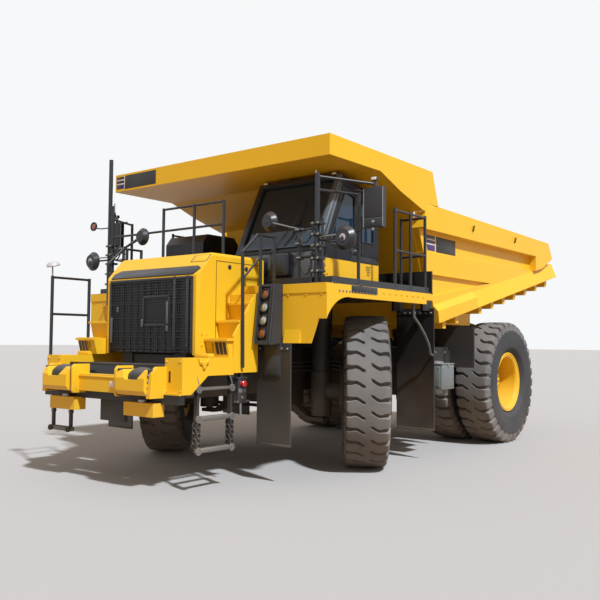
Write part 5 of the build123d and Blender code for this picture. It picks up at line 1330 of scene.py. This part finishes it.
# a round mirror facing forwards: swollen glass in a rim, a dark clamp in its middle
def makeDome(centre, radius):
    x, y, z = centre
    r = radius
    return [lathe([(0, r * 0.42), (r * 0.3, r * 0.4), (r * 0.6, r * 0.3), (r * 0.85, r * 0.12),
                   (r * 0.97, -r * 0.04),
                   (r * 0.97, -r * 0.1), (r * 0.6, -r * 0.02), (0, 0)], centre, (1, 0, 0), "greyPlastic", 40),
            lathe([(r * 0.93, -r * 0.12), (r * 1.0, -r * 0.12), (r * 1.02, 0), (r * 0.97, r * 0.05),
                   (r * 0.93, r * 0.02)],
                  centre, (1, 0, 0), "black", 40),
            block((x + r * 0.1, y - 0.014, z - r * 0.45), (x + r * 0.47, y + 0.014, z + r * 0.1), 0.006, 2,
                  "black"),
            block((x + r * 0.3, y - 0.036, z - r * 0.2), (x + r * 0.5, y + 0.024, z - r * 0.02), 0.008, 2,
                  "black")]


def dressMirrors():
    s = mirrorSettings
    mx, my = s["mast"]
    (x0, y0, z0), (x1, y1, z1) = s["flat"]
    parts, pale = [], []
    for centre, radius in s["domes"]:
        parts += makeDome(centre, radius)
    # rods that carry the domes
    (ix, iy, iz), (ox, oy, oz) = s["domes"][0][0], s["domes"][1][0]
    parts += [tube([(ix + 0.05, iy + 0.02, iz - 0.01), (3.24, 1.66, 3.235), (mx, 1.92, 3.18)], 0.009, "steel",
                   3),
              tube([(mx, my, oz + 0.045), (ox + 0.03, oy - 0.02, oz + 0.045)], 0.011, "steel", 3)]
    # flat mirror: moulded back, pale frame sides, a small lower glass, and brackets
    parts += [block((x1 - 0.006, y0 + 0.012, z0 + 0.13), (x1 + 0.01, y1 - 0.012, z1 - 0.01), 0.014, 3,
                    "plastic"),
              block((x1 - 0.006, y0 + 0.012, z0 + 0.012), (x1 + 0.01, y1 - 0.012, z0 + 0.112), 0.012, 3,
                    "plastic"),
              block((x0 - 0.006, y0 + 0.012, z0 + 0.125), (x0 + 0.004, y1 - 0.012, z1 - 0.012), 0.004, 2,
                    "silver"),
              block((x0 - 0.006, y0 + 0.012, z0 + 0.012), (x0 + 0.004, y1 - 0.012, z0 + 0.11), 0.004, 2,
                    "silver")]
    for y in (y0 + 0.006, y1 - 0.008):
        pale.append(tube([(x1 + 0.004, y, z0 + 0.01), (x1 + 0.004, y, z1 - 0.01)], 0.006, "steel", 3))
    pale.append(tube([(x1 + 0.004, y0, z0 + 0.12), (x1 + 0.004, y1, z0 + 0.12)], 0.004, "steel", 2))
    for y, z in ((2.55, z0 + 0.075), (2.55, z0 - 0.02)):
        pale += bolts([(x1 + 0.008, y, z)], (1, 0, 0), 0.014, 0.02)
    parts += [tube([(2.72, 2.4, 3.24), (2.74, 2.3, 3.2), (2.74, 2.262, 3.2)], 0.01),
              tube([(2.72, 2.4, 3.7), (2.74, 2.3, 3.73), (2.74, 2.262, 3.73)], 0.01)]
    # lamp above the flat mirror
    parts += [block((2.7, 2.505, 3.822), (2.745, 2.595, 3.872), 0.01, 2, "black"),
              block((2.742, 2.512, 3.828), (2.752, 2.588, 3.866), 0.006, 2, "white")]
    both = parts + pale
    both += [mirrored(part) for part in both]
    finishPiece("mirrors", both, "chassis", 40)

    # mast: twin tubes, clamps, cable loop and foot
    cluster = []
    for dx, dy, low, high in ((0.0, 0.075, 2.32, 3.29), (0.055, 0.03, 2.38, 3.06), (0.045, -0.06, 2.3, 2.9),
                              (-0.05, 0.05, 2.56, 3.33)):
        cluster.append(tube([(mx + dx, my + dy, low), (mx + dx, my + dy, high)], 0.014, "black", 3))
    for z in (2.4, 2.66, 2.82, 2.98, 3.12, 3.26):
        cluster.append(block((mx - 0.06, my - 0.07, z - 0.016), (mx + 0.066, my + 0.09, z + 0.016), 0.006, 2,
                             "black"))
        cluster += bolts([(mx + 0.066, my - 0.03, z), (mx + 0.066, my + 0.055, z)], (1, 0, 0), 0.011, 0.014,
                         "clamp")
    cluster += [block((mx - 0.02, my - 0.05, 2.3), (mx + 0.085, my + 0.075, 2.52), 0.01, 2, "black"),
                block((mx - 0.07, my - 0.1, 2.5), (mx + 0.07, my + 0.11, 2.512), 0.004, 2, "black"),
                tube([(mx, my, 3.3), (mx - 0.005, my - 0.03, s["mastTop"] + 0.04)], 0.01, "steel", 3)]
    cluster += bolts([(mx + 0.085, my + dy, z) for dy in (-0.03, 0.05) for z in (2.33, 2.48)], (1, 0, 0),
                     0.011, 0.012, "clamp")
    # hoses that hang from the mast to the post beside it
    for sag, high, out in ((0.17, 3.2, 0.04), (0.11, 3.14, 0.052), (0.3, 2.92, 0.034)):
        hang = []
        for n in range(13):
            t = n / 12
            hang.append((mx + out, my - 0.03 - 0.25 * t, high - sag * 4 * t * (1 - t)))
        cluster.append(tube(hang, 0.009, "rubber", 2))
    for y, z in ((1.74, 3.2), (1.74, 3.02), (1.76, 2.84)):
        cluster.append(block((mx - 0.03, y - 0.035, z - 0.022), (mx + 0.058, y + 0.035, z + 0.022), 0.008, 2,
                             "black"))
        cluster += bolts([(mx + 0.058, y - 0.015, z), (mx + 0.058, y + 0.018, z)], (1, 0, 0), 0.009, 0.014,
                         "clamp")
    both = cluster + [mirrored(part) for part in cluster]
    # work lamp on the right mast's outer side, mirror at the wing rail and its arm
    both += makeLamp((3.27, -2.42, 3.6), (1, 0, 0.08), 0.07, "lampAmber")
    both += [tube([(mx, -2.05, 3.56), (3.235, -2.3, 3.56), (3.245, -2.42, 3.58)], 0.01, "black", 3),
             lathe([(0, 0.05), (0.05, 0.044), (0.08, 0.02), (0.092, -0.01), (0.086, -0.022), (0, -0.014)],
                   (4.745, -1.33, 2.8),
                   (0.25, 0, 0.97), "greyPlastic", 32),
             tube([(4.75, -1.33, 2.6), (4.752, -1.332, 2.79)], 0.01, "steel", 3)]
    finishPiece("mastFittings", both, "chassis", 40)


dressMirrors()
print("mirrors done")
# body, decks and what hangs under them
def bothSides(parts):
    return parts + [mirrored(part) for part in parts]


bodySettings = {
    "face": 1.986,                        # the side wall's outer skin
    "hooks": (-1.05, -2.85),
    "welds": ((0.6, 3.16, 0.95), (-1.6, 3.16, 0.8), (-0.6, 3.53, 1.1), (-2.4, 3.53, 0.9)),   # x, z, length
    "wallBolts": (-0.72, -2.35),
    "lipBars": (-1.6, -0.8, 0.0, 0.8, 1.6), "lipCorner": 2.1,
}


def dressBody():
    s = bodySettings
    # gussets under the canopy, hooks on the rails, weld lines along the folds
    parts = [prism([(0.17, 3.885), (0.52, 3.905), (0.63, 3.77)], "y", 2.095, 2.118, 0.003, "yellow")]
    for x in s["hooks"]:
        parts.append(tube([(x + 0.004, 2.126, 3.665), (x + 0.03, 2.15, 3.685), (x + 0.03, 2.156, 3.725),
                           (x, 2.15, 3.752), (x - 0.022, 2.128, 3.752)], 0.011, "sign", 3))
    for x, z, reach in s["welds"]:
        parts.append(tube([(x, s["face"], z), (x - reach, s["face"], z)], 0.004, "yellow", 1))
    for x in s["wallBolts"]:
        parts += bolts([(x, s["face"], 3.5), (x, s["face"], 3.17)], (0, 1, 0), 0.008, 0.006, "yellow")
    finishPiece("bodyTrim", bothSides(parts), "bed")
    # wear bars across the canopy's underside lip and its corner plates
    lip = []
    for y in s["lipBars"]:
        lip.append(block((3.06, y - 0.1, 4.147), (3.1, y + 0.1, 4.152), 0.001, 1, "yellow"))
    for sign in (1, -1):
        lip.append(block((3.04, sign * s["lipCorner"] - 0.014, 4.16), (3.098, sign * s["lipCorner"] + 0.014,
                                                                       4.42), 0.004, 2, "yellow"))
    finishPiece("canopyTrim", lip, "bed")


dressBody()
print("body done")

deckSettings = {
    "top": 2.5, "edge": 2.2975, "front": 3.39,
    "posts": (0.74, 1.73, 2.64, 3.22),
}


def dressDecks():
    s = deckSettings
    top, edge = s["top"], s["edge"]
    grip, trim = [], []
    # raised bars over both walkways
    bar = block((0.82, 1.8, top), (0.83, 2.225, top + 0.014), 0.002, 1)
    grip += [copyMoved(bar, (step * 0.055, 0, 0)) for step in range(46)]
    dropParts([bar])
    # panel and bolts on the deck's edge, plates at the rail's feet
    trim += [block((2.25, edge - 0.004, 2.405), (2.86, edge + 0.006, 2.497), 0.004, 2, "black"),
             block((2.29, edge + 0.004, 2.425), (2.82, edge + 0.009, 2.478), 0.003, 2, "plastic")]
    trim += bolts([(2.3 + n * 0.075, edge + 0.001, 2.414) for n in range(12)], (0, 1, 0), 0.01, 0.012)
    trim += bolts([(1.0 + n * 0.155, edge + 0.001, 2.44) for n in range(8)], (0, 1, 0), 0.011, 0.01, "yellow")
    for x in s["posts"]:
        trim.append(block((x - 0.045, edge - 0.075, top - 0.002), (x + 0.045, edge + 0.004, top + 0.01), 0.004,
                          2, "black"))
        trim += bolts([(x - 0.03, edge - 0.018, top + 0.009), (x + 0.03, edge - 0.018, top + 0.009)],
                      (0, 0, 1), 0.009,
                      0.01, "clamp")
    # rubber edge and bolts on the arch's front face
    trim += bolts([(s["front"], y, z) for y, z in ((1.7, 2.36), (1.98, 2.36), (2.22, 2.36))], (1, 0, 0), 0.012,
                  0.01, "yellow")
    trim.append(block((s["front"] - 0.004, 1.34, 2.478), (s["front"] + 0.006, 2.29, 2.502), 0.003, 2, "yellow"))
    finishPiece("deckGrip", bothSides(grip), "chassis")
    finishPiece("deckTrim", bothSides(trim), "chassis")

    # flaps: clamp bars, bolts and hems; the grey strut beside the rear ones
    flaps = [block((3.416, 1.235, 1.665), (3.428, 1.755, 1.715), 0.004, 2, "black"),
             block((3.418, 1.225, 0.472), (3.426, 1.765, 0.5), 0.004, 2, "mud"),
             block((0.478, 1.56, 2.205), (0.49, 2.17, 2.255), 0.004, 2, "black"),
             block((0.478, 1.545, 0.452), (0.486, 2.185, 0.48), 0.004, 2, "mud")]
    flaps += bolts([(3.427, 1.27 + n * 0.09, 1.69) for n in range(6)], (1, 0, 0), 0.011, 0.012)
    flaps += bolts([(0.489, 1.6 + n * 0.09, 2.23) for n in range(7)], (1, 0, 0), 0.011, 0.012)
    flaps += [tube([(1.13, 2.2, 2.405), (1.11, 2.205, 2.15), (0.97, 2.208, 2.05), (0.8, 2.21, 1.9),
                    (0.67, 2.208, 1.75), (0.6, 2.195, 1.61), (0.492, 2.17, 1.59)], 0.02, "greyPaint", 4),
              block((1.08, 2.16, 2.385), (1.18, 2.24, 2.403), 0.004, 2, "greyPaint")]
    finishPiece("flapTrim", bothSides(flaps), "chassis")


dressDecks()
print("decks done")

# tanks and the boxes beside them: straps, caps, lids, latches
tankSettings = {
    "straps": (-0.52, -0.2, 0.22), "strapHalf": 0.03,
    "fullStraps": -0.1,                   # straps behind this place go round the tank's outer face too
    "pipeY": 0.668, "pipes": (1.3, 1.36, 1.42), "pipeStep": 0.05,
    "clamps": (-2.6, -1.8, -1.0, -0.2, 0.5),
}


def dressTanks():
    s = tankSettings
    half = s["strapHalf"]
    box = [block((-0.104, 1.846, 1.061), (0.304, 2.234, 1.454), 0.014, 3, "boxPaint"),
           block((-0.112, 1.84, 1.44), (0.312, 2.242, 1.462), 0.008, 3, "boxPaint"),
           lathe([(0, 0), (0.115, 0), (0.105, 0.02), (0.06, 0.034), (0, 0.038)], (0.1, 2.04, 1.46), (0, 0, 1),
                 "boxPaint", 32)]
    for low, high in (((0.3, 1.88, 1.1), (0.31, 2.2, 1.415)), ((-0.07, 2.23, 1.1), (0.27, 2.24, 1.415))):
        box.append(block(low, high, 0.005, 2, "boxPaint"))
    box += [block((0.308, 2.02, 1.395), (0.32, 2.06, 1.455), 0.004, 2, "steel"),
            block((0.08, 2.238, 1.395), (0.12, 2.25, 1.455), 0.004, 2, "steel")]
    box += bolts([(0.309, y, z) for y in (1.9, 2.18) for z in (1.12, 1.39)], (1, 0, 0), 0.008, 0.008)
    box += bolts([(x, 2.239, z) for x in (-0.05, 0.25) for z in (1.12, 1.39)], (0, 1, 0), 0.008, 0.008)
    finishPiece("batteryBoxes", bothSides(box), "chassis")
    tank = []
    for x in s["straps"]:
        tank.append(block((x - half, 0.9, 0.944), (x + half, 1.856, 0.956), 0.003, 2, "black"))
        tank.append(block((x - half, 0.9, 1.696), (x + half, 1.856, 1.706), 0.003, 2, "black"))
        if x < s["fullStraps"]:
            tank.append(block((x - half, 1.848, 0.946), (x + half, 1.858, 1.704), 0.003, 2, "black"))
            tank += bolts([(x, 1.857, 1.02), (x, 1.857, 1.62)], (0, 1, 0), 0.014, 0.016)
    tank += [lathe([(0, 0), (0.07, 0), (0.07, 0.03), (0.06, 0.042), (0, 0.044)], (-0.36, 1.64, 1.698),
                   (0, 0, 1), "steel", 28),
             lathe([(0, 0), (0.04, 0), (0.036, 0.014), (0, 0.016)], (-0.36, 1.85, 1.3), (0, 1, 0), "steel", 24),
             block((-0.4, 1.846, 1.1), (-0.32, 1.856, 1.22), 0.004, 2, "steel"),
             tube([(0.1, 1.1, 1.7), (0.1, 1.1, 1.78), (0.3, 0.95, 1.78), (0.55, 0.72, 1.62)], 0.018, "rubber",
                  3)]
    # pipes along the frame and their clamps
    for z in s["pipes"]:
        run = ((-2.9, z), (0.6, z), (0.9, z + s["pipeStep"]), (2.5, z + s["pipeStep"]))
        tank.append(tube([(x, s["pipeY"], high) for x, high in run], 0.014, "greyPaint", 3))
    for x in s["clamps"]:
        tank.append(block((x - 0.02, 0.635, 1.275), (x + 0.02, 0.69, 1.445), 0.005, 2, "black"))
    finishPiece("tankTrim", bothSides(tank), "chassis")


dressTanks()
print("tanks done")

# stairs: grip on the treads, and the grid in the lowest riser
stairSettings = {
    "treads": ((0.0, 1.81), (0.21, 2.04), (0.41, 2.27)),     # how far back each stands, its top
    "gripBars": 4, "gripPitch": 0.036, "gripY": (0.935, 1.275),
    "riser": (1.612, 1.768), "riserY": (1.07, 1.262),
    "riserFoot": (0.07, 1.59), "riserLean": 0.2564,
    "gridLevels": 7, "gridPitch": 0.024, "gridPosts": (1.068, 1.13, 1.194, 1.256),
}


def dressStairs():
    s = stairSettings
    (y0, y1), (low, high), (r0, r1) = s["gripY"], s["riser"], s["riserY"]
    for side, sign in (("left", 1), ("right", -1)):
        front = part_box("stair_" + side)[1][0]
        parts = []
        for back, top in s["treads"]:
            for n in range(s["gripBars"]):
                x = front - back - 0.03 - n * s["gripPitch"]
                parts.append(block((x - 0.006, y0, top - 0.001), (x + 0.006, y1, top + 0.006), 0.002, 1,
                                   "yellow"))

        # a plate on the leaning riser: its foot stands behind its top
        def plate(z0, z1, start, end, out, thick, finish):
            back, foot = s["riserFoot"]
            a, b = (front - back + (z - foot) * s["riserLean"] for z in (z0, z1))
            outline = [(a + out, z0), (a + out + thick, z0), (b + out + thick, z1), (b + out, z1)]
            return prism(outline, "y", start, end, 0, finish)

        parts.append(plate(low, high, r0, r1, -0.002, 0.004, "sign"))
        for n in range(s["gridLevels"]):
            z = n * s["gridPitch"]
            parts.append(plate(1.616 + z, 1.621 + z, r0, r1, 0.002, 0.005, "greyPaint"))
        for y in s["gridPosts"]:
            parts.append(plate(low, high, y, y + 0.006, 0.002, 0.007, "yellow"))
        parts += bolts([(front - 0.012, y, 1.796) for y in (0.95, 1.24)], (1, 0, 0), 0.008, 0.008, "yellow")
        if sign < 0:
            plain = parts
            parts = [mirrored(part) for part in plain]
            dropParts(plain)
        finishPiece("stairTrim." + side, parts, "chassis")


dressStairs()
print("stairs done")
